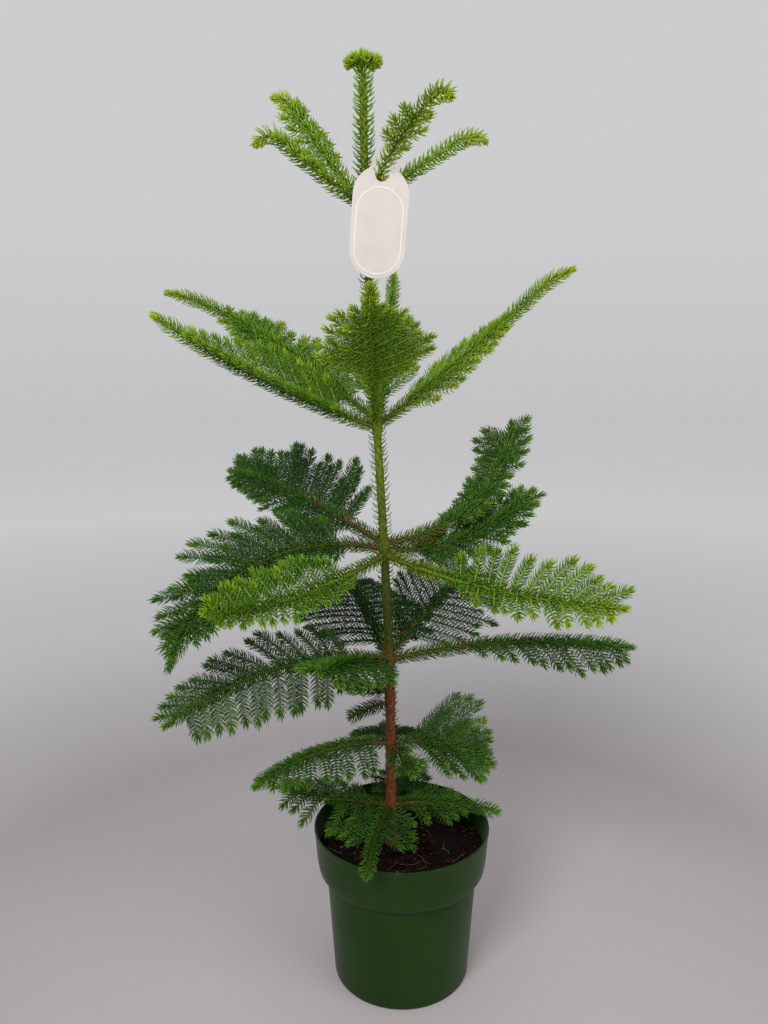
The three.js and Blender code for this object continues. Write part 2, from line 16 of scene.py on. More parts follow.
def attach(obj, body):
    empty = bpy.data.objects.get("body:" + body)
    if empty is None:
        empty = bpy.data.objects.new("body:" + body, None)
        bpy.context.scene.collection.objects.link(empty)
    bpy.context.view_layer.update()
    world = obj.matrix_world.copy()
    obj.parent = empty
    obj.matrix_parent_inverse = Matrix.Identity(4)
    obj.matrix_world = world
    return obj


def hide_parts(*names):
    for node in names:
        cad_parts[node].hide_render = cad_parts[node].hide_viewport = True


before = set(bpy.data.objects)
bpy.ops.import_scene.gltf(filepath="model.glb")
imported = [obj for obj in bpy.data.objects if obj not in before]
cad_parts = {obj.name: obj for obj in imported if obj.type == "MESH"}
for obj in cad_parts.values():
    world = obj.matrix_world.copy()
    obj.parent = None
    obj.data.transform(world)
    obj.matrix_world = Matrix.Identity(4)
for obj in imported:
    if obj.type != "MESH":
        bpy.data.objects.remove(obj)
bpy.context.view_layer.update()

MM = 0.001
UP = np.array([0.0, 0.0, 1.0])
X_AXIS = np.array([1.0, 0.0, 0.0])
CIRCLE = 2 * math.pi
GOLDEN = math.pi * (3 - math.sqrt(5))

# ---------------------------------------------------------------- driving dimensions

SEAT = 0.3  # clearance between pieces that touch

POT = Sizes(
    height=186, base_radius=80.5, shoulder_radius=89.5, collar_foot=133, collar_radius=98,
    collar_flare=2.4, flare_height=14, rim_radius=103.6, bead=0.6, bead_height=4, wall=1.8, floor=2.4,
    drain_radius=6, drain_circle=52, drains=6,
)

# The soil is lower along its edge at the wall and has a low ridge round the trunk. Clods, chips of bark
# and fine roots lie on it. A clod's breadth and height are shares of its length.
SOIL = Sizes(top=160, edge_top=157, edge=12, ridge_radius=28, ridge=1.2, ridge_width=26)
SOIL_RIM = POT.collar_radius + 2 - POT.wall - 2 * SEAT  # radius of its top
CLODS = Sizes(
    count=560, size=(0.7, 2.9), big=1.6, big_share=0.1, lumps=(0.7, 1.25), breadth=(0.5, 0.9),
    height=(0.35, 0.7), chip_every=4,
)
ROOTS = Sizes(count=10, steps=12, step=(1.5, 3.2), wander=0.3, radii=(0.35, 0.15))

TRUNK = Sizes(
    foot_x=-12.5, lean=6, bend=24, bend_from=300, bend_to=980, top=957, foot_radius=6.2,
    top_radius=3.9, flare=3.2, flare_height=7,
)

LEADER = Sizes(tip=1041, head_height=1027, head_twigs=8, head_length=17, head_rise=0.3, head_droop=0.4)

TAG = Sizes(
    bough="a3", along=50.5, width=58, height=112, shoulder=1.5, thickness=0.8, hook_radius=12,
    eye_radius=7.3, eye_drop=7.3, slit=2.5, slit_angle=8, tilt=4.3, hang=(-2.3, -2.6),
)


def both(first, last):
    """The same on the left and on the right, at the first twig and at the last."""
    return (first, last), (first, last)


def steady(left, right):
    """One value for all twigs on the left and one for all on the right."""
    return (left, left), (right, right)


# The needles of the leader and of the top whorl against the others: how many, how long, how thick.
STOUT = Sizes(count=0.62, length=1.1, girth=1.4)
PLAIN = Sizes(count=1, length=1, girth=1)
HEAD_GIRTH = 1.25  # of the needles on the leader's head

# Boughs: what all of them share, then those of a whorl, then each one's own. Their shapes and twigs
# are as in the part's source. forks and lifts have a pair for the twigs on the left and one for the
# right, each with the value at the first and at the last twig.
# Only the scene has the last ones. tone is the foliage's brightness, from 0 (deep green) to 6 (the
# yellow-green of new growth). It is partly the needles' own age and partly painted light and shade:
# darker for boughs at the back and underneath, lighter for those in front. rust is the share of needles
# that are dead at the trunk, and filled the length of further twigs between the side twigs, against
# these. uneven is how much shorter than by the rule a twig may be, and pointed how much shorter the
# twigs towards the tip are.
EVERY_BOUGH = dict(
    reach=(1, 1), peak=0.35, tip_share=0.45, lifts=steady(0, 0), sag=0.1, curl=0,
    needles=PLAIN, bud=False, rust=0, filled=0, uneven=0.12, pointed=0,
)

WHORLS = {
    "a": dict(height=885, radius=1.8, spread=26, zone=(0.35, 0.85), peak=0.3, tip_share=0.6,
              forks=both(45, 40), sag=-0.1, curl=45, tone=5.0, needles=STOUT, bud=True),
    "b": dict(height=658, radius=2.6, spread=60, zone=(0.14, 0.68), peak=0.15, tip_share=0.2,
              forks=both(52, 42), sag=-0.05, tone=4.2),
    "c": dict(height=520, radius=2.9, spread=64, zone=(0.16, 0.93), peak=0.4, forks=both(72, 45),
              tone=3.0, rust=0.16),
    "d": dict(height=389, radius=2.9, spread=60, zone=(0.16, 0.93), peak=0.4, forks=both(80, 55),
              sag=0.12, tone=2.0, rust=0.16),
    "e": dict(height=287, radius=2.8, spread=46, zone=(0.16, 0.9), forks=both(80, 50), tone=2.4),
    "f": dict(height=209, radius=2.4, spread=40, zone=(0.16, 0.9), forks=both(75, 55), tone=2.4),
}

# Name, turn, sweep, slope at the root and at the tip, length, and what else is the bough's own, in
# degrees and millimetres.
BOUGHS = [
    ("a1", 208, -10, 29, 37, 136, dict(curl=95, spread=20, forks=both(60, 50), lifts=steady(-25, 30))),
    ("a2", 139, 7, 45, 54, 186, dict(forks=((65, 55), (75, 60)), lifts=steady(-45, 0))),
    ("a3", 319, -25, 64, 3, 176, dict(height=883, spread=25, zone=(0.36, 0.72), tip_share=0.3,
         forks=both(75, 60), tone=5.6)),
    ("a4", 20, 20, 37, 28, 179, dict(height=887, spread=0)),
    ("b1", 203, -6, 19, 34, 260, dict(height=655, spread=54, zone=(0.14, 0.86),
         forks=((52, 42), (75, 50)), lifts=((0, 0), (50, 40)), bud=True)),
    ("b2", 153, 16, 37, 24, 296, dict(height=662, curl=15, reach=(0.75, 1), zone=(0.14, 0.74),
         tip_share=0.35, forks=((72, 55), (92, 70)), lifts=steady(-35, 18), bud=True, filled=0.7,
         uneven=0.2)),
    ("b3", 264, 9, 50, 28, 215, dict(spread=64, zone=(0.28, 0.92), reach=(1, 0.85), peak=0.1,
         tip_share=0.05, forks=both(74, 56), lifts=steady(5, 5), tone=5.0, filled=0.75, uneven=0.16,
         pointed=0.3)),
    ("b4", 80, 6, 46, 48, 240, dict(lifts=steady(10, 10))),
    ("b5", 0, -4, 34, 48, 264, dict(curl=25, spread=50, reach=(1, 0.8), lifts=steady(20, -35), tone=4.8,
         bud=True)),
    ("c1", 150, -18, 25, 2, 268, dict(height=525, spread=80, peak=0.15, reach=(0.55, 1),
         forks=((70, 50), (92, 45)), lifts=steady(-25, 50), tone=1.8, filled=0.85, uneven=0.2)),
    ("c2", 186, 64, 14, -49, 299, dict(height=519, spread=76, reach=(0.65, 1), tip_share=0.15,
         forks=((75, 60), (78, 45)), lifts=((-15, -15), (62, 10)), sag=0.15, tone=2.0, filled=0.75,
         uneven=0.25)),
    ("c3", 224, 20, -17, 16, 275, dict(height=513, spread=50, peak=0.3, tip_share=0.35,
         zone=(0.22, 0.95), reach=(0.6, 1), forks=((75, 60), (95, 60)), lifts=((-5, -55), (60, 75)),
         tone=3.9, uneven=0.35)),
    ("c4", 5, 65, 6, 60, 245, dict(height=526, spread=40, peak=0.8, tip_share=0.8, zone=(0.3, 0.95),
         reach=(1, 0.85), forks=((72, 85), (72, 45)), lifts=steady(10, 0), tone=3.0, filled=0.7,
         uneven=0.2)),
    ("c5", 8, 12, -8, 46, 196, dict(height=519, radius=2.4, spread=46, lifts=steady(35, -10), tone=2.7,
         filled=0.8)),
    ("c6", 320, 11, -11, 4, 280, dict(height=513, radius=2.7, spread=60, peak=0.35, zone=(0.36, 0.94),
         reach=(1, 0.6), forks=((102, 44), (75, 55)), lifts=((85, 55), (-5, -40)), tone=4.4,
         uneven=0.2)),
    ("d1", 199, 10, 14, -30, 265, dict(reach=(0.85, 1), tip_share=0.5, forks=((88, 80), (85, 45)),
         lifts=((-55, -55), (40, 20)), tone=1.8)),
    ("d2", 243, 15, 22, 12, 205, dict(height=384, spread=42, lifts=((-10, -45), (0, 0)), tone=2.1)),
    ("d3", 5, 6, 12, -12, 298, dict(spread=44, zone=(0.3, 0.95), peak=0.4, forks=((80, 60), (80, 72)),
         lifts=((-15, -20), (0, -50)), tone=2.2)),
    ("d4", 60, 0, 18, 8, 235, dict(height=395, spread=70, forks=((85, 60), (80, 55)),
         lifts=steady(55, -15), tone=0.8)),
    ("d5", 104, 0, 16, 6, 225, dict(height=388, spread=86, sag=0.25, forks=((85, 60), (80, 55)),
         lifts=((10, -5), (0, 0)), tone=0.8)),
    ("e1", 206, 4, 15, -25, 172, dict(spread=52, peak=0.1, reach=(1, 0.8), forks=both(90, 65),
         lifts=((-20, 0), (-15, -15)))),
    ("e2", 15, 0, 2, -40, 142, dict(spread=92, peak=0.05, tip_share=0, reach=(1, 0.75),
         forks=((54, 46), (80, 45)), lifts=((66, 60), (-10, -10)), filled=0.7)),
    ("e3", 300, 0, -10, -20, 58, dict(spread=24)),
    ("e4", 95, 0, -5, -25, 100, dict(tone=1.4)),
    ("f1", 175, -9, 1, 8, 139, dict(forks=((85, 70), (75, 55)), lifts=steady(-35, 10))),
    ("f2", 357, 14, 9, -22, 132, dict(zone=(0.15, 0.6), spread=36, lifts=steady(10, -5))),
    ("f3", 253, 12, 0, -4, 140, dict(zone=(0.1, 0.5), spread=50, forks=both(75, 60), tone=1.8)),
    ("f4", 80, 0, 5, -10, 105, dict(tone=1.8)),
    ("d6", 166, 0, 8, -6, 52, dict(height=349, radius=1.8, spread=0, tone=0.6)),
    ("d7", 196, 0, -8, -24, 50, dict(height=338, radius=1.8, spread=0, tone=0.6)),
]

TWIG = Sizes(pitch=14, forward=0.12, shortest=14, radius=1.0, tip_radius=0.5, clearance=2.5)
BOUGH_TIP_RADIUS = 1.3

# Bark: the mesh's steps along a stem and its sides round it, the scars of needles (how many spirals,
# and how far apart), their relief, the grain's, and the swelling at a fork and how far that reaches.
TRUNK_BARK = Sizes(step=1.4, sides=26, spirals=4, pitch=7.5, relief=0.5, grain=0.12, swell=0.9, reach=7)
BOUGH_BARK = Sizes(step=2.2, sides=9, spirals=3, pitch=5.0, relief=0.5, grain=0.1, swell=0.9, reach=9)
BARE_TIP = 6  # of the leader, above its bark

# Needles: how many stand on each millimetre of a bough and of a twig, their length on each, how far
# they open from the stem at their base and where they end, in degrees, their half-width, and the
# share of the stem's radius where they start.
NEEDLE = Sizes(
    bough_per_mm=2.6, bough_length=13, twig_per_mm=1.5, twig_length=11.5, opening=74, closing=26,
    lift=0.12, width=0.68, foot=0.8, clearance=1.0,
)
NEEDLE_RINGS = ((0.0, 0.85), (0.42, 1.0), (0.78, 0.62))  # share of its length, and of its half-width
UNEVEN = Sizes(place=0.22, turn=0.13, opening=4, closing=5, size=(0.9, 1.08), tone=0.3)  # by chance

# Foliage colours from deep green to new growth, and the rust of old needles. The darker ones also
# carry the painted shade of boughs at the back and underneath.
TONES = [
    ("deep", (0.016, 0.05, 0.01)),
    ("shade", (0.024, 0.075, 0.011)),
    ("dark", (0.038, 0.108, 0.012)),
    ("mid", (0.06, 0.155, 0.013)),
    ("fresh", (0.095, 0.215, 0.015)),
    ("bright", (0.16, 0.29, 0.015)),
    ("lime", (0.275, 0.4, 0.022)),
]
RUST = ("rust", (0.2, 0.065, 0.022))
RUSTY = -10.0  # the tone that stands for it
PIECE_NEEDLES = 12000  # most needles in one piece
YOUNG_TONE = 3.2  # above it, a stem is yellow-green as well
# Further twigs get a lower tone. This is painted shade, standing for the shade of the twigs round them.
FILLER = Sizes(tone=-0.7, lift=(-0.9, 0.2), size=(0.85, 1.1))  # further twigs, mostly lower, in shade

COMB = (6, 38, -20)  # how far the needles beside a twig stand out of its spray's plane, in turn
ROSETTE = Sizes(length=8, per_mm=1.6, needle=9)  # extra needles at the last of a twig
BUD = Sizes(length=5, needle=6.5, per_mm=8)

# Needles on the trunk: from and to height, how many a millimetre, their length and tone.
TRUNK_NEEDLES = [
    (168, 290, 0.6, 4.5, RUSTY),
    (285, 390, 1.0, 9.0, 1.4),
    (390, 500, 0.9, 10.5, 2.4),
    (500, 660, 1.0, 12.0, 3.0),
    (660, 897, 1.1, 12.0, 3.5),
]

# Twig stems are pale above YOUNG_TONE and dark below it, so the dark stems are partly painted shade.
TWIG_COLOURS = dict(
    pale=((0.16, 0.26, 0.01), (0.34, 0.46, 0.025)), dark=((0.03, 0.07, 0.012), (0.07, 0.12, 0.02)),
)

# ---------------------------------------------------------------- small tools


def unit(v):
    return v / np.maximum(np.linalg.norm(v, axis=-1, keepdims=True), 1e-9)


def lerp(a, b, t):
    return a + (b - a) * t


def smoothstep(x, low, high):
    t = np.clip((np.asarray(x, float) - low) / (high - low), 0, 1)
    return t * t * (3 - 2 * t)


def at_shares(value, share):
    """A number, or a function of share, as one value for each share."""
    return value(share) if callable(value) else np.full(len(share), float(value))


def even(first, last):
    """A function of share that runs evenly from one value to another."""
    return lambda s: lerp(first, last, s)


def eased(first, last, low, high=1):
    """A function of share that goes smoothly from one value to another between two shares."""
    return lambda s: lerp(first, last, smoothstep(s, low, high))


def heading(turn):
    """The level direction at an angle."""
    return np.stack([np.cos(turn), np.sin(turn), 0 * turn], -1)


def imul(a, b):
    return (a * b) & 0xFFFFFFFF


def random_from(seed):
    """The part source's seeded generator (mulberry32), so that the same twigs grow."""
    state = seed

    def draw():
        nonlocal state
        state = (state + 0x6D2B79F5) & 0xFFFFFFFF
        t = imul(state ^ (state >> 15), state | 1)
        t ^= (t + imul(t ^ (t >> 7), t | 61)) & 0xFFFFFFFF
        return (t ^ (t >> 14)) / 4294967296

    return draw


def mesh_object(name, points, faces, material):
    """A smooth object from an array of points in millimetres and an array of triangles."""
    mesh = bpy.data.meshes.new(name)
    mesh.vertices.add(len(points))
    mesh.vertices.foreach_set("co", (points * MM).astype(np.float32).ravel())
    mesh.loops.add(faces.size)
    mesh.loops.foreach_set("vertex_index", faces.astype(np.int32).ravel())
    mesh.polygons.add(len(faces))
    mesh.polygons.foreach_set("loop_start", np.arange(0, faces.size, 3, dtype=np.int32))
    mesh.update(calc_edges=True)
    mesh.polygons.foreach_set("use_smooth", np.full(len(faces), True))
    obj = bpy.data.objects.new(name, mesh)
    bpy.context.scene.collection.objects.link(obj)
    mesh.materials.append(material)
    return obj


def finish_piece(obj, slot, *nodes):
    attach(obj, "root")
    if nodes:
        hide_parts(*nodes)


class Sheaf:
    """Points and faces of many small solids, gathered into one mesh."""

    def __init__(self):
        self.points, self.faces, self.count = [], [], 0

    def add(self, points, faces):
        self.points.append(points)
        self.faces.append(faces + self.count)
        self.count += len(points)

    def build(self, name, material):
        return mesh_object(name, np.concatenate(self.points), np.concatenate(self.faces), material)


def triangles(quads):
    return np.concatenate([quads[:, [0, 1, 2]], quads[:, [0, 2, 3]]])


def round_angles(count):
    return np.arange(count) / count * CIRCLE


def skin(rings, start, end):
    """A closed surface over rings of points, with a middle point for its first and last ring."""
    count, sides = rings.shape[:2]
    i = np.arange(sides)
    j = (i + 1) % sides
    ring = np.arange(count - 1)[:, None] * sides
    walls = np.stack([ring + i, ring + j, ring + j + sides, ring + i + sides], -1).reshape(-1, 4)
    total = count * sides
    first = np.stack([j, i, np.full(sides, total)], -1)
    last = np.stack([i + total - sides, j + total - sides, np.full(sides, total + 1)], -1)
    points = np.concatenate([rings.reshape(-1, 3), [start, end]])
    return points, np.concatenate([triangles(walls), first, last])


def tube(points, radii, sides, side_hint=UP):
    """A closed round tube along points. radii has one value per ring, or one per ring and side."""
    ahead = unit(np.gradient(points, axis=0))
    side = unit(np.cross(side_hint, ahead))
    up = np.cross(ahead, side)
    angle = round_angles(sides)[None, :, None]
    out = side[:, None] * np.cos(angle) + up[:, None] * np.sin(angle)
    radii = np.asarray(radii, float).reshape(len(points), -1, 1)
    return skin(points[:, None] + out * radii, points[0], points[-1])


def turned(radii, heights, sides):
    """Rings of points round the Z axis. heights has one value per ring, or one per ring and point."""
    heights = np.asarray(heights, float).reshape(len(heights), -1, 1)
    return np.asarray(radii, float)[:, None, None] * heading(round_angles(sides)) + UP * heights


# ---------------------------------------------------------------- limbs, as in the part's source


def trunk_at(z):
    z = np.asarray(z, float)
    share = (z - SOIL.top) / (LEADER.tip - SOIL.top)
    bend = smoothstep(z, TRUNK.bend_from, TRUNK.bend_to)
    x = TRUNK.foot_x - TRUNK.lean * share - TRUNK.bend * bend
    return np.stack([x, np.zeros_like(z), z], -1)


def trunk_radius(z):
    z = np.asarray(z, float)
    share = np.clip((z - SOIL.top) / (TRUNK.top - SOIL.top), 0, 1)
    flare = TRUNK.flare * np.exp(-(z - SOIL.top) / TRUNK.flare_height)
    return lerp(TRUNK.top_radius, TRUNK.foot_radius, (1 - share) ** 2) + flare


class Bough:
    STEPS = 16
    CURL_FROM = 0.8  # share of the length where a drooping tip starts

    def __init__(self, row, seed):
        self.name, self.turn, self.sweep, self.rise, self.end, self.length, own = row
        self.__dict__.update(EVERY_BOUGH | WHORLS[self.name[0]] | own)
        self.seed = seed
        share = (np.arange(self.STEPS) + 0.5) / self.STEPS
        curled = self.curl * np.clip((share - self.CURL_FROM) / (1 - self.CURL_FROM), 0, 1)
        slope = np.radians(lerp(self.rise, self.end, share) - curled)
        level = heading(np.radians(self.turn + self.sweep * share))
        ahead = level * np.cos(slope)[:, None] + UP * np.sin(slope)[:, None]
        start = trunk_at(self.height)
        steps = np.cumsum(ahead, 0) * self.length / self.STEPS
        self.points = np.concatenate([start[None], start + steps])

    def at(self, share):
        """Points at shares of the length, on the smooth curve through the bough's points."""
        p = self.points
        p = np.concatenate([2 * p[:1] - p[1:2], p, 2 * p[-1:] - p[-2:-1]])
        t = np.clip(np.asarray(share, float), 0, 1) * self.STEPS
        i = np.minimum(t.astype(int), self.STEPS - 1)
        f = (t - i)[..., None]
        a, b, c, d = p[i], p[i + 1], p[i + 2], p[i + 3]
        square, cube = 2 * a - 5 * b + 4 * c - d, 3 * b - a - 3 * c + d
        return 0.5 * (2 * b + (c - a) * f + square * f**2 + cube * f**3)

    def place(self, share):
        """Centre, the way the bough runs, and its left and upper directions."""
        share = float(share)
        along = unit(self.at(min(1, share + 0.01)) - self.at(max(0, share - 0.01)))
        side = unit(np.cross(UP, along))
        return self.at(share), along, side, np.cross(along, side)

    def radius_at(self, share):
        return lerp(self.radius, BOUGH_TIP_RADIUS, np.asarray(share, float))

    def twig_share(self, u):
        """Length of a side twig as a share of the longest, at a share of the stretch with twigs."""
        if u < self.peak:
            return lerp(0.6, 1, math.sin(math.pi / 2 * u / self.peak))
        return lerp(self.tip_share, 1, math.cos(math.pi / 2 * (u - self.peak) / (1 - self.peak)))

    def twigs(self):
        """The side twigs by the seeded rule: where each one starts, how it grows, and its length."""
        if not self.spread:
            return []
        draw = random_from(self.seed)
        low, high = self.zone
        count = int((high - low) * self.length / TWIG.pitch)
        grown = []
        for side_index, way in enumerate((1, -1)):
            forks, lifts = self.forks[side_index], self.lifts[side_index]
            for k in range(count):
                u = (k + (0.25 if way > 0 else 0.75) + 0.3 * (draw() - 0.5)) / count
                longest = self.spread * self.reach[side_index]
                length = longest * self.twig_share(u) * (0.88 + 0.24 * draw())
                fork = math.radians(lerp(*forks, u) + 8 * (draw() - 0.5))
                draw()  # the source's draw for the roll of a blade
                if length < TWIG.shortest:
                    continue
                lift = math.radians(lerp(*lifts, u))
                centre, along, side, up = self.place(lerp(low, high, u))
                out = side * way * math.cos(lift) + up * math.sin(lift)
                ahead = along * math.cos(fork) + out * math.sin(fork)
                grown.append(Twig(self, centre, along, ahead, length, u, way))
        return grown


class Twig:
    def __init__(self, bough, centre, along, ahead, length, place, way):
        self.bough, self.centre, self.along, self.ahead = bough, centre, along, ahead
        self.length, self.place, self.way = length, place, way

    def at(self, share):
        s = np.asarray(share, float)[..., None]
        return (self.centre + self.ahead * self.length * s
                + self.along * self.length * TWIG.forward * s**2
                - UP * self.length * self.bough.sag * s**2)


boughs = [Bough(row, 101 + 17 * i) for i, row in enumerate(BOUGHS)]

# The card's own frame: its eye at the origin, X across it, Y through it and Z up it.
tilt = math.radians(TAG.tilt)
tag_axes = np.array([
    [math.cos(tilt), 0, -math.sin(tilt)], [0, 1, 0], [math.sin(tilt), 0, math.cos(tilt)],
])
tag_bough = next(bough for bough in boughs if bough.name == TAG.bough)
tag_eye = tag_bough.at(TAG.along / tag_bough.length) + [TAG.hang[0], 0, TAG.hang[1]]


def to_tag(points):
    return (points - tag_eye) @ tag_axes.T


def from_tag(points):
    return points @ tag_axes + tag_eye


def near_card(points, gap, beside):
    """Whether points are within a gap of the card's faces and less than a distance beside its edge."""
    across, through, up = to_tag(points).T
    near = (np.abs(through) < gap) & (np.abs(across) < TAG.width / 2 + beside)
    return near & (up < TAG.hook_radius + beside) & (up > -TAG.height - beside)


def in_eye(points, margin):
    """Whether points are in front of the card's eye or behind it, with a margin inside its edge."""
    across, _, up = to_tag(points).T
    return np.hypot(across, up - np.clip(up, -TAG.eye_drop, 0)) <= TAG.eye_radius - margin


# ---------------------------------------------------------------- needles

# Columns of a needle's row: its foot, the stem's direction, the way out from the stem, the angles at
# its foot and its tip, its length, how far its tip turns up, its tone and its girth.
FOOT, AHEAD, OUT = slice(0, 3), slice(3, 6), slice(6, 9)
SPREAD, CLOSE, SIZE, LIFT = (slice(i, i + 1) for i in range(9, 13))
TONE, GIRTH = 13, slice(14, 15)

Stem = namedtuple("Stem", "at length")  # points as a function of share, and the length


class Needles:
    """Every needle of the plant, one row each."""

    def __init__(self):
        self.rows = []

    def along(self, stem, start, per_mm, seed, radius, size, tone, opening, closing=NEEDLE.closing,
              lift=NEEDLE.lift, normal=None, rusty=None, girth=1):
        """Needles on a stem, from a share of its length to its tip.

        They stand in a spiral, or where a normal is given mostly in two combs beside the stem, in the
        plane across it. radius, size, tone and opening are numbers or functions of share, and rusty,
        the share of dead needles, is a function.
        """
        random = np.random.default_rng(seed)
        count = max(1, int((1 - start) * stem.length * per_mm))
        order = (np.arange(count) + 0.5 + random.uniform(-UNEVEN.place, UNEVEN.place, count)) / count
        share = lerp(start, 1, order)
        centre = stem.at(share)
        ahead = unit(stem.at(np.minimum(1, share + 0.02)) - stem.at(np.maximum(0, share - 0.02)))
        side = unit(np.cross(X_AXIS if normal is None else normal, ahead))
        up = np.cross(ahead, side)
        step = np.arange(count)
        if normal is None:
            angle = GOLDEN * step + random.uniform(0, CIRCLE)
        else:
            tilts = np.radians(COMB)[step // 2 % len(COMB)]
            angle = tilts * np.where(step % 2, -1, 1) + math.pi * (step % 2)
        angle = angle + random.normal(0, UNEVEN.turn, count)
        out = side * np.cos(angle)[:, None] + up * np.sin(angle)[:, None]
        spread = np.radians(at_shares(opening, share) + random.normal(0, UNEVEN.opening, count))
        close = np.radians(closing + random.normal(0, UNEVEN.closing, count)) * spread
        close /= math.radians(NEEDLE.opening)
        sizes = at_shares(size, share) * random.uniform(*UNEVEN.size, count)
        tones = at_shares(tone, share) + random.normal(0, UNEVEN.tone, count)
        if rusty is not None:
            tones = np.where(random.uniform(0, 1, count) < rusty(share), RUSTY, tones)
        self.rows.append(np.column_stack([
            centre + out * at_shares(radius, share)[:, None] * NEEDLE.foot, ahead, out, spread, close,
            sizes, np.full(count, lift), tones, np.full(count, girth),
        ]))

    def bud(self, stem, seed, tone, radius=1.0, lift=0.0):
        """A blunt bud: short needles that bend in over the tip of a stem."""
        start = 1 - BUD.length / stem.length
        self.along(
            stem, start, BUD.per_mm, seed, radius, BUD.needle, tone, opening=eased(72, 32, start),
            closing=-20, lift=lift,
        )

    def build(self):
        """One or more pieces of each colour."""
        rows = np.concatenate(self.rows)
        rows = rows[~blocked(rows)]
        kinds = np.clip(np.round(rows[:, TONE]), 0, len(TONES) - 1).astype(int)
        kinds[rows[:, TONE] < RUSTY / 2] = len(TONES)
        pieces = []
        for kind, (name, colour) in enumerate([*TONES, RUST]):
            mine = rows[kinds == kind]
            parts = max(1, math.ceil(len(mine) / PIECE_NEEDLES))
            shades = tint(colour, 0.72), tint(colour, 1.3)
            look = mottled_material("needle_" + name, *shades, 260, 0.1, colour)
            for i, part in enumerate(np.array_split(mine, parts)):
                if len(part):
                    label = f"needles_{name}_{i + 1}" if parts > 1 else f"needles_{name}"
                    pieces.append(mesh_object(label, *needle_mesh(part), look))
        return pieces


def needle_ways(rows):
    """The ways needles run at their foot and at their tip."""
    ahead, out = rows[:, AHEAD], rows[:, OUT]
    first = ahead * np.cos(rows[:, SPREAD]) + out * np.sin(rows[:, SPREAD])
    last = ahead * np.cos(rows[:, CLOSE]) + out * np.sin(rows[:, CLOSE])
    return first, unit(last + UP * rows[:, LIFT])


def needle_at(rows, first, last, s):
    """Points at a share of the needles' length."""
    return rows[:, FOOT] + rows[:, SIZE] * (first * s + (last - first) * s * s / 2)


def blocked(rows):
    """Whether a needle would touch the card, the soil or the pot."""
    ways = needle_ways(rows)
    clear = NEEDLE.clearance
    hit = np.zeros(len(rows), bool)
    for s in (0.35, 0.7, 1.0):
        p = needle_at(rows, *ways, s)
        on_card = near_card(p, clear, clear) & ~in_eye(p, 0.4)
        radius = np.hypot(p[:, 0], p[:, 1])
        in_soil = (radius < POT.rim_radius) & (p[:, 2] < SOIL.top + 0.5)
        in_wall = (np.abs(radius - POT.rim_radius + 1) < 2.5) & (p[:, 2] < POT.height + 0.5)
        hit |= on_card | in_soil | in_wall
    return hit


def needle_mesh(rows):
    """Curved three-sided needles that taper to a point, closed at the foot."""
    first, last = needle_ways(rows)
    across = unit(np.cross(first, last + rows[:, OUT] * 0.01))
    rings = []
    for s, width in NEEDLE_RINGS:
        centre = needle_at(rows, first, last, s)
        keel = np.cross(unit(lerp(first, last, s)), across)
        for angle in round_angles(3):
            turn = across * math.cos(angle) + keel * math.sin(angle)
            rings.append(centre + turn * NEEDLE.width * width * rows[:, GIRTH])
    points = np.stack([*rings, needle_at(rows, first, last, 1.0)], 1)
    shape = []
    for ring in (0, 3):
        for j in range(3):
            k = (j + 1) % 3
            shape += [(ring + j, ring + k, ring + 3 + k), (ring + j, ring + 3 + k, ring + 3 + j)]
    shape += [(6, 7, 9), (7, 8, 9), (8, 6, 9), (2, 1, 0)]
    faces = np.arange(len(rows))[:, None, None] * points.shape[1] + np.array(shape)
    return points.reshape(-1, 3), faces.reshape(-1, 3)


# ---------------------------------------------------------------- materials


def set_inputs(node, inputs):
    """Gives each input of a node a value, or a link from another node's output."""
    for key, value in inputs.items():
        socket = node.inputs[key]
        if isinstance(value, bpy.types.NodeSocket):
            node.id_data.links.new(value, socket)
        elif socket.type == "RGBA":
            socket.default_value = (*value, 1)
        else:
            socket.default_value = value


def add_node(owner, kind, inputs, **settings):
    """A new node in a node tree, or in the tree of a socket."""
    node = owner.id_data.nodes.new("ShaderNode" + kind)
    for key, value in settings.items():
        setattr(node, key, value)
    set_inputs(node, inputs)
    return node


def material(name, base, roughness, specular=0.5):
    made = bpy.data.materials.new(name)
    made.use_nodes = True
    shader = made.node_tree.nodes["Principled BSDF"]
    set_inputs(shader, {"Base Color": base, "Roughness": roughness, "Specular IOR Level": specular})
    return made, made.node_tree


def finish_look(made, inputs, height=None, strength=0, distance=0):
    """Sets a material's shader, with bumps where there is a height for them."""
    if height is not None:
        node = add_node(height, "Bump", {"Height": height, "Strength": strength, "Distance": distance})
        inputs["Normal"] = node.outputs["Normal"]
    set_inputs(made.node_tree.nodes["Principled BSDF"], inputs)
    return made


def place_in(tree, coordinates="Object"):
    return add_node(tree, "TexCoord", {}).outputs[coordinates]


def noise(tree, scale, detail=4.0, roughness=0.55, stretch=(1, 1, 1)):
    """A noise texture in the object's own coordinates, in metres."""
    mapping = add_node(tree, "Mapping", {"Vector": place_in(tree), "Scale": stretch})
    texture = add_node(tree, "TexNoise", {
        "Vector": mapping.outputs["Vector"], "Scale": scale, "Detail": detail, "Roughness": roughness,
    })
    return texture.outputs["Fac"]


def ramp(value, *stops):
    """A colour ramp; each stop is (position, colour)."""
    node = add_node(value, "ValToRGB", {"Fac": value})
    elements = node.color_ramp.elements
    while len(elements) < len(stops):
        elements.new(0.5)
    for element, (position, colour) in zip(elements, stops):
        element.position = position
        element.color = (*colour, 1)
    return node.outputs["Color"]


def mottle(texture, dark, light):
    return ramp(texture, (0.3, dark), (0.7, light))


def patches(texture, low, high, most):
    """0 where a texture is under low, and most where it is over high."""
    return ramp(texture, (low, (0, 0, 0)), (high, (most, most, most)))


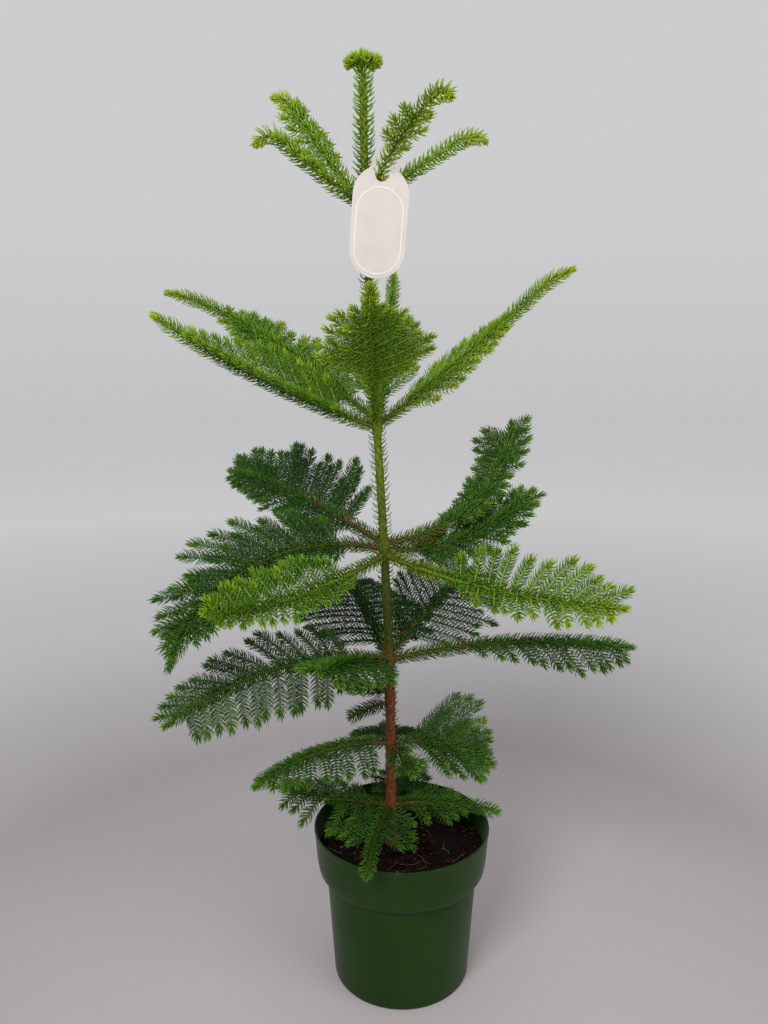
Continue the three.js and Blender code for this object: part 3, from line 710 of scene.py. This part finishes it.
def mix(share, first, second):
    node = add_node(share, "Mix", {"Factor": share, "A": first, "B": second}, data_type="RGBA")
    return node.outputs["Result"]


def ranged(value, low, high, to_low=0, to_high=1):
    """A value between low and high, mapped to the range between to_low and to_high."""
    limits = {"From Min": low, "From Max": high, "To Min": to_low, "To Max": to_high}
    return add_node(value, "MapRange", {"Value": value, **limits}).outputs["Result"]


def height_share(place, low, high):
    """0 at one height and 1 at the other, in metres."""
    return ranged(add_node(place, "SeparateXYZ", {"Vector": place}).outputs["Z"], low, high)


def distance_share(place, low, high):
    """0 at one distance from the origin and 1 at the other, in metres."""
    far = add_node(place, "VectorMath", {0: place}, operation="LENGTH")
    return ranged(far.outputs["Value"], low, high)


def tint(colour, brightness):
    return tuple(c * brightness for c in colour)


def mottled_material(name, dark, light, scale=300, specular=0.5, base=None):
    """From a dark to a light colour, from place to place."""
    made, tree = material(name, base or dark, 0.5, specular)
    return finish_look(made, {"Base Color": mottle(noise(tree, scale, 3), dark, light)})


def trunk_material():
    """Red-brown bark at the foot that turns green-brown, then the yellow-green of young wood."""
    made, tree = material("trunk_bark", (0.2, 0.1, 0.04), 0.7, 0.2)
    speckle = noise(tree, 420, 5, 0.65, (1, 1, 0.45))
    old = ramp(speckle, (0.3, (0.06, 0.014, 0.005)), (0.52, (0.145, 0.036, 0.011)),
               (0.75, (0.26, 0.085, 0.034)))
    turning = ramp(speckle, (0.3, (0.014, 0.022, 0.0005)), (0.6, (0.042, 0.053, 0.001)),
                   (0.75, (0.1, 0.085, 0.005)))
    young = ramp(speckle, (0.3, (0.04, 0.072, 0.001)), (0.55, (0.1, 0.15, 0.002)),
                 (0.75, (0.19, 0.25, 0.006)))
    low = mix(height_share(place_in(tree), 0.34, 0.42), old, turning)
    colour = mix(height_share(place_in(tree), 0.45, 0.62), low, young)
    return finish_look(made, {"Base Color": colour}, speckle, 0.5, 0.0006)


def bough_material(name, root, dark, light):
    """The bark of a bough, of one colour where it leaves the trunk and soon from dark to light green."""
    made, tree = material(name, light, 0.6, 0.2)
    speckle = noise(tree, 520, 4, 0.6)
    inputs = {0: place_in(tree), 1: (1, 1, 0), 2: (0.022, 0, 0)}
    from_trunk = add_node(tree, "VectorMath", inputs, operation="MULTIPLY_ADD").outputs["Vector"]
    colour = mix(distance_share(from_trunk, 0.015, 0.075), mottle(speckle, tint(root, 0.4), root),
                 mottle(speckle, dark, light))
    return finish_look(made, {"Base Color": colour}, speckle, 0.4, 0.0004)


def pot_material():
    """Matt green plastic with faint moulding mottle, dusty scuffs and splashes of dried soil."""
    made, tree = material("pot_plastic", (0.008, 0.03, 0.003), 0.42, 0.12)
    body = mottle(noise(tree, 14, 3), (0.008, 0.028, 0.003), (0.012, 0.037, 0.004))
    scuffs = patches(noise(tree, 60, 8, 0.7, (1, 1, 2.5)), 0.64, 0.78, 0.3)
    specks = patches(noise(tree, 210, 2, 0.5), 0.73, 0.77, 0.8)
    inputs = {
        "Base Color": mix(specks, mix(scuffs, body, (0.07, 0.11, 0.055)), (0.05, 0.032, 0.018)),
        "Roughness": ranged(noise(tree, 40, 5), 0, 1, 0.36, 0.56),
        "Sheen Weight": 0.09,
        "Sheen Roughness": 0.35,
    }
    return finish_look(made, inputs, noise(tree, 900, 3), 0.12, 0.0002)


def soil_material():
    """Moist peat: nearly black, with patches of red-brown fibre."""
    made, tree = material("potting_soil", (0.02, 0.012, 0.008), 0.95, 0.1)
    grain = noise(tree, 340, 8, 0.7)
    peat = ramp(grain, (0.35, (0.001, 0.001, 0.0005)), (0.58, (0.006, 0.004, 0.002)),
                (0.72, (0.03, 0.014, 0.006)))
    fibre = ramp(grain, (0.4, (0.006, 0.002, 0.001)), (0.65, (0.06, 0.018, 0.009)))
    fibrous = patches(noise(tree, 70, 4, 0.6), 0.5, 0.62, 0.8)
    return finish_look(made, {"Base Color": mix(fibrous, peat, fibre)}, grain, 0.9, 0.002)


def card_material():
    """Unbleached card, with fibres and flecks."""
    made, tree = material("tag_card", (0.7, 0.62, 0.58), 0.85, 0.3)
    tone = mottle(noise(tree, 45, 4), (0.52, 0.465, 0.435), (0.56, 0.51, 0.48))
    flecks = patches(noise(tree, 900, 3, 0.6, (1, 1, 0.4)), 0.66, 0.74, 0.35)
    colour = mix(flecks, tone, (0.36, 0.27, 0.23))
    return finish_look(made, {"Base Color": colour}, noise(tree, 1500, 4), 0.15, 0.0002)


# ---------------------------------------------------------------- trunk and boughs


def bark_relief(bark, length, random):
    """A spiral lattice of low bumps, the scars that needles leave along a stem, and its rough grain."""
    sides = bark.sides
    along = length[:, None] / bark.pitch
    turn = np.arange(sides) / sides * bark.spirals
    lattice = np.cos(CIRCLE * (along + turn)) * np.cos(CIRCLE * (along - turn))
    return (0.5 + 0.5 * lattice) * bark.relief, random.normal(0, bark.grain, (len(length), sides))


def trunk_mesh():
    bark = TRUNK_BARK
    top = LEADER.tip - BARE_TIP
    z = np.arange(SOIL.top + SEAT, top, bark.step)
    radius = trunk_radius(z)
    for height in {bough.height for bough in boughs}:
        radius += bark.swell * np.exp(-(((z - height) / bark.reach) ** 2))
    relief, grain = bark_relief(bark, z, np.random.default_rng(7))
    grain = (grain + np.roll(grain, 1, 0) + np.roll(grain, 1, 1)) / 2
    taper = np.clip((top - z) / 30, 0.25, 1)[:, None]
    radii = (radius[:, None] + relief + grain - bark.relief / 2) * taper
    return mesh_object("trunk_bark", *tube(trunk_at(z), radii, bark.sides, X_AXIS), trunk_material())


def bough_mesh(name, chosen, look):
    bark = BOUGH_BARK
    sheaf = Sheaf()
    for bough in chosen:
        share = np.linspace(0, 1, int(bough.length / bark.step))
        share = share[share * bough.length > trunk_radius(bough.height) - 1.5]
        length = share * bough.length
        relief, grain = bark_relief(bark, length, np.random.default_rng(bough.seed))
        root = bark.swell * np.exp(-length / bark.reach)
        radius = (bough.radius_at(share) + root) * np.where(share > 0.97, 0.6, 1)
        sheaf.add(*tube(bough.at(share), radius[:, None] - 0.2 + relief + grain, bark.sides))
    return sheaf.build(name, look)


def bough_pieces(nodes):
    """The young boughs and the lit ones in front are yellow-green, partly as painted light. The older
    ones and those at the back are darker, partly as painted shade, and brown at the trunk.
    """
    young = [bough for bough in boughs if bough.tone > YOUNG_TONE]
    old = [bough for bough in boughs if bough.tone <= YOUNG_TONE]
    # A bough's bark follows its tone, so the split is partly painted light and shade.
    fresh = bough_material("bark_young_and_painted_light", (0.13, 0.13, 0.015), (0.07, 0.14, 0.006), (0.2, 0.31, 0.015))
    aged_and_shaded_bark = bough_material("bark_old_and_painted_shade", (0.15, 0.075, 0.022), (0.03, 0.06, 0.006), (0.09, 0.13, 0.012))
    finish_piece(bough_mesh("boughs_young_and_painted_light", young, fresh), "limb_bark", *nodes)
    finish_piece(bough_mesh("boughs_old_and_painted_shade", old, aged_and_shaded_bark), "limb_bark", *nodes)


# ---------------------------------------------------------------- twigs and their needles


def touches_limb(twig):
    """Whether a twig runs into the trunk, the card, the pot or another bough."""
    points = twig.at(np.linspace(0.3, 1, 8))
    clear = TWIG.clearance
    x, y, z = points.T
    if (np.hypot(x - trunk_at(z)[:, 0], y) < trunk_radius(z) + clear).any():
        return True
    if near_card(points, clear, 2).any():
        return True
    if ((np.abs(np.hypot(x, y) - POT.rim_radius) < 3) & (z < POT.height + 2)).any():
        return True
    for other in boughs:
        if other is not twig.bough:
            gap = np.linalg.norm(points[:, None] - other.at(np.linspace(0.03, 1, 60))[None], axis=-1)
            if gap.min() < clear:
                return True
    return False


def tapered(size, tip_loss, tip_from, root=0.72, root_to=0.2):
    """Needle length as a function of share: short at the root, and shorter again at the tip."""
    return lambda s: (size * lerp(root, 1, smoothstep(s, 0, root_to))
                      * (1 - tip_loss * smoothstep(s, tip_from, 1)))


def grow_bough_needles(needles, bough):
    """The dense brush of needles round a bough, short and partly dead near the trunk."""
    bare = trunk_radius(bough.height) + 1
    kind = bough.needles
    needles.along(
        bough, bare / bough.length, NEEDLE.bough_per_mm * kind.count, bough.seed,
        bough.radius_at, tapered(NEEDLE.bough_length * kind.length, 0.5, 0.9),
        eased(bough.tone + 0.1, bough.tone + 1.4, 0.7),
        eased(NEEDLE.opening, NEEDLE.opening - 38, 0.92),
        rusty=eased(bough.rust, 0, 0.15, 0.5), girth=kind.girth,
    )
    if bough.bud:
        needles.bud(bough, bough.seed + 7, bough.tone + 1.8)


def fillers(bough, twigs):
    """Shorter twigs between neighbouring side twigs, most of them lower."""
    random = np.random.default_rng(bough.seed + 3)
    grown = []
    for way in (1, -1) if bough.filled else ():
        row = [twig for twig in twigs if twig.way == way]
        for before, after in zip(row, row[1:]):
            place = (before.place + after.place) / 2
            centre, along, _, up = bough.place(lerp(*bough.zone, place))
            ahead = unit(before.ahead + after.ahead + up * random.uniform(*FILLER.lift))
            length = (before.length + after.length) / 2 * bough.filled * random.uniform(*FILLER.size)
            grown.append(Twig(bough, centre, along, ahead, length, place, way))
    return grown


def grow_twig(needles, stems, twig, seed, tone):
    """One twig with its two combs of needles and the brighter rosette at its tip."""
    bough = twig.bough
    kind = bough.needles
    shade = bough.tone + tone + np.random.default_rng(seed).normal(0, 0.35) + 0.5 * (twig.place - 0.5)
    first = bough.radius_at(lerp(*bough.zone, twig.place)) / twig.length
    last = 1 - ROSETTE.length / twig.length
    normal = unit(np.cross(twig.along, twig.ahead))
    normal = normal if normal[2] > 0 else -normal
    radius = even(TWIG.radius, TWIG.tip_radius)
    needles.along(
        twig, first, NEEDLE.twig_per_mm * kind.count, seed, radius,
        tapered(NEEDLE.twig_length * kind.length, 0.42, last),
        lambda s: shade - 0.35 + 0.5 * s + 0.5 * smoothstep(s, last - 0.15, 1),
        eased(NEEDLE.opening, NEEDLE.opening - 42, last), normal=normal, girth=kind.girth,
    )
    needles.along(
        twig, last, ROSETTE.per_mm, seed + 500, TWIG.tip_radius, ROSETTE.needle, shade + 1.1,
        opening=eased(58, 24, last), closing=12,
    )
    share = np.linspace(0, 1, 9)
    # a low tone gives a dark stem: partly painted shade
    stems["pale" if shade > YOUNG_TONE else "dark"].add(*tube(twig.at(share), radius(share), 5))


def grow():
    needles = Needles()
    stems = {"pale": Sheaf(), "dark": Sheaf()}
    for bough in boughs:
        grow_bough_needles(needles, bough)
        twigs = bough.twigs()
        random = np.random.default_rng(bough.seed + 5)
        for twig in twigs:
            twig.length *= 1 - bough.uneven * random.uniform()
            twig.length *= 1 - bough.pointed * smoothstep(twig.place, 0.4, 1)
        for row, seed, tone in ((twigs, 0, 0), (fillers(bough, twigs), 500, FILLER.tone)):
            for i, twig in enumerate(row):
                if not touches_limb(twig):
                    grow_twig(needles, stems, twig, bough.seed * 1000 + seed + i, tone)
    grow_leader(needles, stems["pale"])
    grow_trunk_needles(needles)
    return needles, stems


def up_trunk(low, high):
    """The trunk between two heights, as a stem."""
    return Stem(lambda s: trunk_at(lerp(low, high, s)), high - low)


def grow_leader(needles, stems):
    """Hooked needles up the leader, and the short drooping twigs of its head, all new growth."""
    low, high = TRUNK.top - 60, LEADER.tip - 10
    needles.along(
        up_trunk(low, high), 0, per_mm=1.5, seed=5, radius=lambda s: trunk_radius(lerp(low, high, s)),
        size=even(14, 12.5), tone=even(4.3, 5.2), opening=even(84, 72), closing=26, lift=0.2,
        girth=STOUT.girth,
    )
    for i in range(LEADER.head_twigs):
        out = heading((i + 0.3) / LEADER.head_twigs * CIRCLE)
        length = LEADER.head_length * (0.92 + 0.12 * (i % 2))

        def at(share, out=out, length=length):
            s = np.asarray(share, float)[..., None]
            rise = LEADER.head_rise * s - LEADER.head_droop * s**2
            return trunk_at(LEADER.head_height) + out * length * s + UP * length * rise

        stem = Stem(at, length)
        needles.along(
            stem, 0.05, per_mm=3.0, seed=900 + i, radius=0.9, size=even(11, 8), tone=even(5.2, 6.4),
            opening=even(60, 48), closing=30, lift=1.2, girth=HEAD_GIRTH,
        )
        needles.bud(stem, 930 + i, tone=6, radius=1.1, lift=0.8)
        share = np.linspace(0, 1, 6)
        stems.add(*tube(at(share), lerp(1.4, 0.9, share), 6))
    needles.along(
        up_trunk(LEADER.head_height - 4, high), 0, per_mm=7, seed=77, radius=1.4, size=11,
        tone=even(5.2, 6), opening=even(46, 18), closing=12, lift=0.6, girth=HEAD_GIRTH,
    )


def grow_trunk_needles(needles):
    """Hooked needles up the trunk: green above, dark below, and a red-brown stubble on old wood."""
    for i, (low, high, per_mm, size, tone) in enumerate(TRUNK_NEEDLES):
        needles.along(
            up_trunk(low, high), 0, per_mm, 40 + i, lambda s: trunk_radius(lerp(low, high, s)), size,
            tone, opening=82, closing=20, lift=0.3,
        )


# ---------------------------------------------------------------- pot, soil and card


def rounded(points, radius, steps=5):
    """An open polyline with its inner corners rounded."""
    points = [np.array(p, float) for p in points]
    out = [points[0]]
    for before, corner, after in zip(points, points[1:], points[2:]):
        reach = min(radius, *(np.linalg.norm(end - corner) * 0.45 for end in (before, after)))
        start, end = corner + unit(before - corner) * reach, corner + unit(after - corner) * reach
        for t in np.linspace(0, 1, steps):
            out.append((1 - t) ** 2 * start + 2 * t * (1 - t) * corner + t * t * end)
    return [*out, points[-1]]


def densify(points, step):
    out = []
    for a, b in zip(points, points[1:]):
        count = max(1, int(np.linalg.norm(b - a) / step))
        out += [lerp(a, b, i / count) for i in range(count)]
    return [*out, points[-1]]


def pot_piece():
    p = POT
    wall, floor, top, step = p.wall, p.floor, p.height, p.collar_foot
    middle = 3  # radius of the flat in the middle of the floor
    flare, flare_top = p.collar_radius + p.collar_flare, step + p.flare_height
    outer = [
        (middle, 0), (p.base_radius, 0), (p.shoulder_radius, step), (p.collar_radius, step + 1),
        (flare, flare_top), (p.rim_radius - p.bead, top - p.bead_height - 1),
        (p.rim_radius, top - p.bead_height), (p.rim_radius, top),
    ]
    inner = [
        (p.rim_radius - wall, top), (p.rim_radius - wall - 0.4, top - 6), (flare - wall, flare_top),
        (p.collar_radius - wall, step + 1 + wall), (p.shoulder_radius - wall, step + wall),
        (p.base_radius - wall, floor), (middle, floor),
    ]
    radii, heights = np.array(densify(rounded([*outer, *inner], 2.6), 9)).T
    shell = skin(turned(radii, heights, 144), (0, 0, 0), (0, 0, floor))
    plastic = pot_material()
    obj = mesh_object("pot_body", *shell, plastic)
    for i in range(p.drains):
        centre = p.drain_circle * heading(i / p.drains * CIRCLE)
        through = centre + UP * np.array([[-4], [8]])
        hole = mesh_object(f"drain_{i}", *tube(through, [p.drain_radius] * 2, 24, X_AXIS), plastic)
        cut = obj.modifiers.new("drain", "BOOLEAN")
        cut.operation = "DIFFERENCE"
        cut.object = hole
        cut.solver = "EXACT"
        apply_modifiers(obj)
        bpy.data.objects.remove(hole)
    shade_by_angle(obj, 35)
    finish_piece(obj, "pot_plastic", "pot")


def apply_modifiers(obj):
    mesh = bpy.data.meshes.new_from_object(obj.evaluated_get(bpy.context.evaluated_depsgraph_get()))
    obj.modifiers.clear()
    obj.data = mesh


def shade_by_angle(obj, degrees):
    """Smooth faces, with edges sharper than the angle kept sharp."""
    work = bmesh.new()
    work.from_mesh(obj.data)
    for edge in work.edges:
        edge.smooth = not edge.is_manifold or edge.calc_face_angle(0) < math.radians(degrees)
    for face in work.faces:
        face.smooth = True
    work.to_mesh(obj.data)
    work.free()


def soil_pieces():
    """Crumbly potting soil, loose clods and chips of bark on it, and a few pale roots."""
    random = np.random.default_rng(21)
    earth = soil_material()
    finish_piece(mesh_object("soil_bed", *soil_bed(random), earth), "potting_soil", "soil")
    clods, chips = soil_clods(random)
    finish_piece(clods.build("soil_clods", earth), "potting_soil")
    bark = mottled_material("chips", (0.02, 0.007, 0.004), (0.1, 0.035, 0.018))
    finish_piece(chips.build("soil_chips", bark), "potting_soil")
    pale = mottled_material("root", (0.07, 0.038, 0.02), (0.18, 0.11, 0.065))
    finish_piece(soil_roots(random).build("soil_roots", pale), "potting_soil")


def soil_bed(random):
    """One solid that fills the pot, its top uneven with crumbs and lower at the wall."""
    p = POT
    rings, sides = 64, 160
    angle = round_angles(sides)
    radius = SOIL_RIM * (np.arange(1, rings + 1) / rings) ** 0.8
    ripple = sum(
        a * np.sin(k * angle[None] + random.uniform(0, 6) + radius[:, None] * f)
        for a, k, f in ((0.6, 3, 0.05), (0.5, 7, 0.11), (0.4, 13, 0.21), (0.35, 23, 0.4))
    )
    crumbs = random.normal(0, 0.55, (rings, sides))
    inward = np.clip((SOIL_RIM - radius) / SOIL.edge, 0, 1)[:, None]
    ridge = SOIL.ridge * np.exp(-(((radius - SOIL.ridge_radius) / SOIL.ridge_width) ** 2))[:, None]
    level = lerp(SOIL.edge_top, SOIL.top - SOIL.ridge, inward)
    top = turned(radius, level + (ripple + crumbs) * (0.35 + 0.65 * inward) + ridge, sides)
    foot, gap = p.floor + 2 * SEAT, p.wall + 0.8
    below = turned(
        [SOIL_RIM - 0.4, p.shoulder_radius - gap, p.base_radius - gap],
        [p.collar_foot + 8, p.collar_foot + 1, foot], sides,
    )
    points, faces = skin(np.concatenate([top, below]), (0, 0, SOIL.top - 0.6), (0, 0, foot))
    return points, faces[:, ::-1]


def spot(random, reach, nearest):
    """A random place on the soil: its distance from the middle and its turn."""
    return reach * math.sqrt(random.uniform(nearest, 1)), random.uniform(0, CIRCLE)


def soil_clods(random):
    """Lumps of soil, some of which are chips of bark."""
    clods, chips = Sheaf(), Sheaf()
    ball = bmesh.new()
    bmesh.ops.create_icosphere(ball, subdivisions=1, radius=1)
    ball_points = np.array([v.co[:] for v in ball.verts])
    ball_faces = np.array([[v.index for v in f.verts] for f in ball.faces])
    ball.free()
    for i in range(CLODS.count):
        r, turn = spot(random, SOIL_RIM - 4, 0.02)
        size = random.uniform(*CLODS.size) * (CLODS.big if random.uniform() < CLODS.big_share else 1)
        lumps = ball_points * random.uniform(*CLODS.lumps, (len(ball_points), 1))
        stretch = np.array([1, random.uniform(*CLODS.breadth), random.uniform(*CLODS.height)])
        spin = random.uniform(0, CIRCLE)
        x, y, z = (lumps * stretch * size).T
        spun = [x * math.cos(spin) - y * math.sin(spin), x * math.sin(spin) + y * math.cos(spin), z]
        high = SOIL.edge_top + 1.4 + min(1, (SOIL_RIM - r) / SOIL.edge)
        placed = np.stack(spun, -1) + r * heading(turn) + UP * high
        (clods if i % CLODS.chip_every else chips).add(placed, ball_faces)
    return clods, chips


def soil_roots(random):
    """Fine roots that wander over the soil."""
    roots = Sheaf()
    for _ in range(ROOTS.count):
        r, turn = spot(random, SOIL_RIM - 14, 0.05)
        way = random.uniform(0, CIRCLE)
        points = [r * heading(turn) + UP * (SOIL.top + 0.4)]
        for _ in range(ROOTS.steps):
            way += random.normal(0, ROOTS.wander)
            after = points[-1] + heading(way) * random.uniform(*ROOTS.step)
            if np.hypot(after[0], after[1]) > SOIL_RIM - 5:
                break
            after[2] = SOIL.top + 0.6 + 1.2 * math.sin(len(points) * 0.9) ** 2
            points.append(after)
        if len(points) > 4:
            roots.add(*tube(np.array(points), np.linspace(*ROOTS.radii, len(points)), 5))
    return roots


def arc(radius, height, first, last, count):
    """Points of an arc about (0, height), from one angle to another in degrees."""
    angle = np.radians(np.linspace(first, last, count))
    return np.stack([radius * np.cos(angle), height + radius * np.sin(angle)], -1)


def tag_outline():
    """The card about its eye: round ends, a slot for an eye, and a hook that is open at one side."""
    round_end, hook, eye = TAG.width / 2, TAG.hook_radius, TAG.eye_radius
    high = TAG.shoulder - round_end
    low = TAG.shoulder - TAG.height + round_end
    slit, half_slit = TAG.slit_angle, math.degrees(TAG.slit / 2)
    shoulder, neck = 60, 176  # where the round top stops and the hook starts, in degrees
    return np.concatenate([
        arc(round_end, high, shoulder, 0, 16),
        arc(round_end, low, 0, -180, 40),
        arc(round_end, high, 180, 180 - shoulder, 16),
        arc(hook, 0, neck, slit + half_slit / hook, 24),
        arc(eye, 0, slit + half_slit / eye, 180, 20),
        arc(eye, -TAG.eye_drop, 180, 360, 20),
        arc(eye, 0, slit - half_slit / eye, slit - half_slit / eye, 1),
        arc(hook, 0, slit - half_slit / hook, 0, 3),
    ])


def slab(outline, thickness):
    """A flat solid with this outline, which runs clockwise as seen from its front."""
    n = len(outline)
    i = np.arange(n)
    j = (i + 1) % n
    filled = delaunay_2d_cdt([Vector(p) for p in outline], np.stack([i, j], -1).tolist(), [], 1, 1e-6)
    front = np.array(filled[2])
    x, z = outline.T
    flat = np.stack([x, 0 * x - thickness / 2, z], -1)
    points = np.concatenate([flat, flat + [0, thickness, 0]])
    walls = triangles(np.stack([i, j, j + n, i + n], -1))
    return points, np.concatenate([front, front[:, ::-1] + n, walls])


def tag_pieces():
    """The card, and a plain border line near its edge."""
    points, faces = slab(tag_outline(), TAG.thickness)
    card = mesh_object("tag_card", from_tag(points), faces, card_material())
    shade_by_angle(card, 40)
    finish_piece(card, "card", "hang_tag")
    ink, _ = material("tag_ink", (0.8, 0.75, 0.71), 0.8, 0.3)
    inset, line = 5.0, 0.4
    radius = TAG.width / 2 - inset
    low = TAG.shoulder - TAG.height + TAG.width / 2
    high = -TAG.eye_drop - TAG.eye_radius - inset - radius
    x, z = np.concatenate([arc(radius, high, 0, 180, 32), arc(radius, low, 180, 360, 32)]).T
    border = np.stack([x, 0 * x, z], -1)
    finish_piece(mesh_object("tag_print", *band(border, line), ink), "card")


def band(loop, half_width):
    """A thin raised line along a closed loop on the card's front."""
    ahead = unit(np.roll(loop, -1, 0) - np.roll(loop, 1, 0))
    across = np.stack([ahead[:, 2], 0 * ahead[:, 0], -ahead[:, 0]], -1) * half_width
    face = -TAG.thickness / 2
    sunk, proud = [0, face + 0.05, 0], [0, face - 0.06, 0]
    ring = [loop + across + sunk, loop + across + proud, loop - across + proud, loop - across + sunk]
    n = len(loop)
    i = np.arange(n)
    j = (i + 1) % n
    walls = []
    for k in range(4):
        here, there = k * n, (k + 1) % 4 * n
        walls.append(np.stack([i + here, j + here, j + there, i + there], -1))
    return from_tag(np.concatenate(ring)), triangles(np.concatenate(walls))


# ---------------------------------------------------------------- the whole plant

limb_nodes = [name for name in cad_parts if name.startswith("bough_")]
mass_nodes = [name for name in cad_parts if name.startswith("foliage_")]

finish_piece(trunk_mesh(), "bark", "trunk")
bough_pieces(limb_nodes)
needles, stems = grow()
for shade, sheaf in stems.items():
    bark = mottled_material("twig_" + shade, *TWIG_COLOURS[shade])
    finish_piece(sheaf.build("twigs_" + shade, bark), "needles", *mass_nodes)
for piece in needles.build():
    finish_piece(piece, "needles", *mass_nodes)
pot_piece()
soil_pieces()
tag_pieces()

# ---------------------------------------------------------------- stage, light and camera

CAMERA = Sizes(place=(-0.021, -0.933, 0.727), down=10.06, lens=29.88)


def floor_material():
    """Pale floor with a ring of painted shade round the pot. Far away it is painted lighter, as light as
    the room.
    """
    made, tree = material("floor", (0.5, 0.49, 0.49), 0.7, 0.2)
    # The darker ring is painted shade, and the lighter far floor is painted light.
    shades = ramp(distance_share(place_in(tree), 0, 4), (0.06, (0.42, 0.39, 0.395)),
                  (0.16, (0.345, 0.32, 0.33)), (0.35, (0.58, 0.57, 0.58)), (0.8, (0.87, 0.87, 0.87)))
    return finish_look(made, {"Base Color": shades})


def stage():
    bpy.ops.mesh.primitive_circle_add(vertices=96, radius=12, fill_type="NGON", location=(0, 0, 0))
    floor = bpy.context.object
    floor.name = "floor"
    floor.data.materials.append(floor_material())
    world = bpy.data.worlds.new("studio")
    world.use_nodes = True
    tree = world.node_tree
    height = height_share(place_in(tree, "Generated"), -0.06, 0.16)
    sky = ramp(height, (0, (0.54, 0.54, 0.55)), (1, (0.61, 0.61, 0.62)))
    set_inputs(tree.nodes["Background"], {"Color": sky})
    bpy.context.scene.world = world
    bpy.context.scene.view_settings.view_transform = "Standard"


def area_light(name, location, target, size, energy):
    data = bpy.data.lights.new(name, "AREA")
    data.size = size
    data.energy = energy
    light = bpy.data.objects.new(name, data)
    light.location = location
    light.rotation_euler = (Vector(target) - Vector(location)).to_track_quat("-Z", "Y").to_euler()
    bpy.context.scene.collection.objects.link(light)


def camera():
    data = bpy.data.cameras.new("camera")
    data.sensor_width = 36
    data.lens = CAMERA.lens
    made = bpy.data.objects.new("camera", data)
    made.location = CAMERA.place
    made.rotation_euler = (math.radians(90 - CAMERA.down), 0, 0)
    bpy.context.scene.collection.objects.link(made)
    bpy.context.scene.camera = made


stage()
area_light("key", (-0.8, -1.7, 1.9), target=(0, 0, 0.6), size=0.9, energy=38)
area_light("fill", (1.5, -1.2, 1.1), target=(0, 0, 0.4), size=1.4, energy=16)
camera()
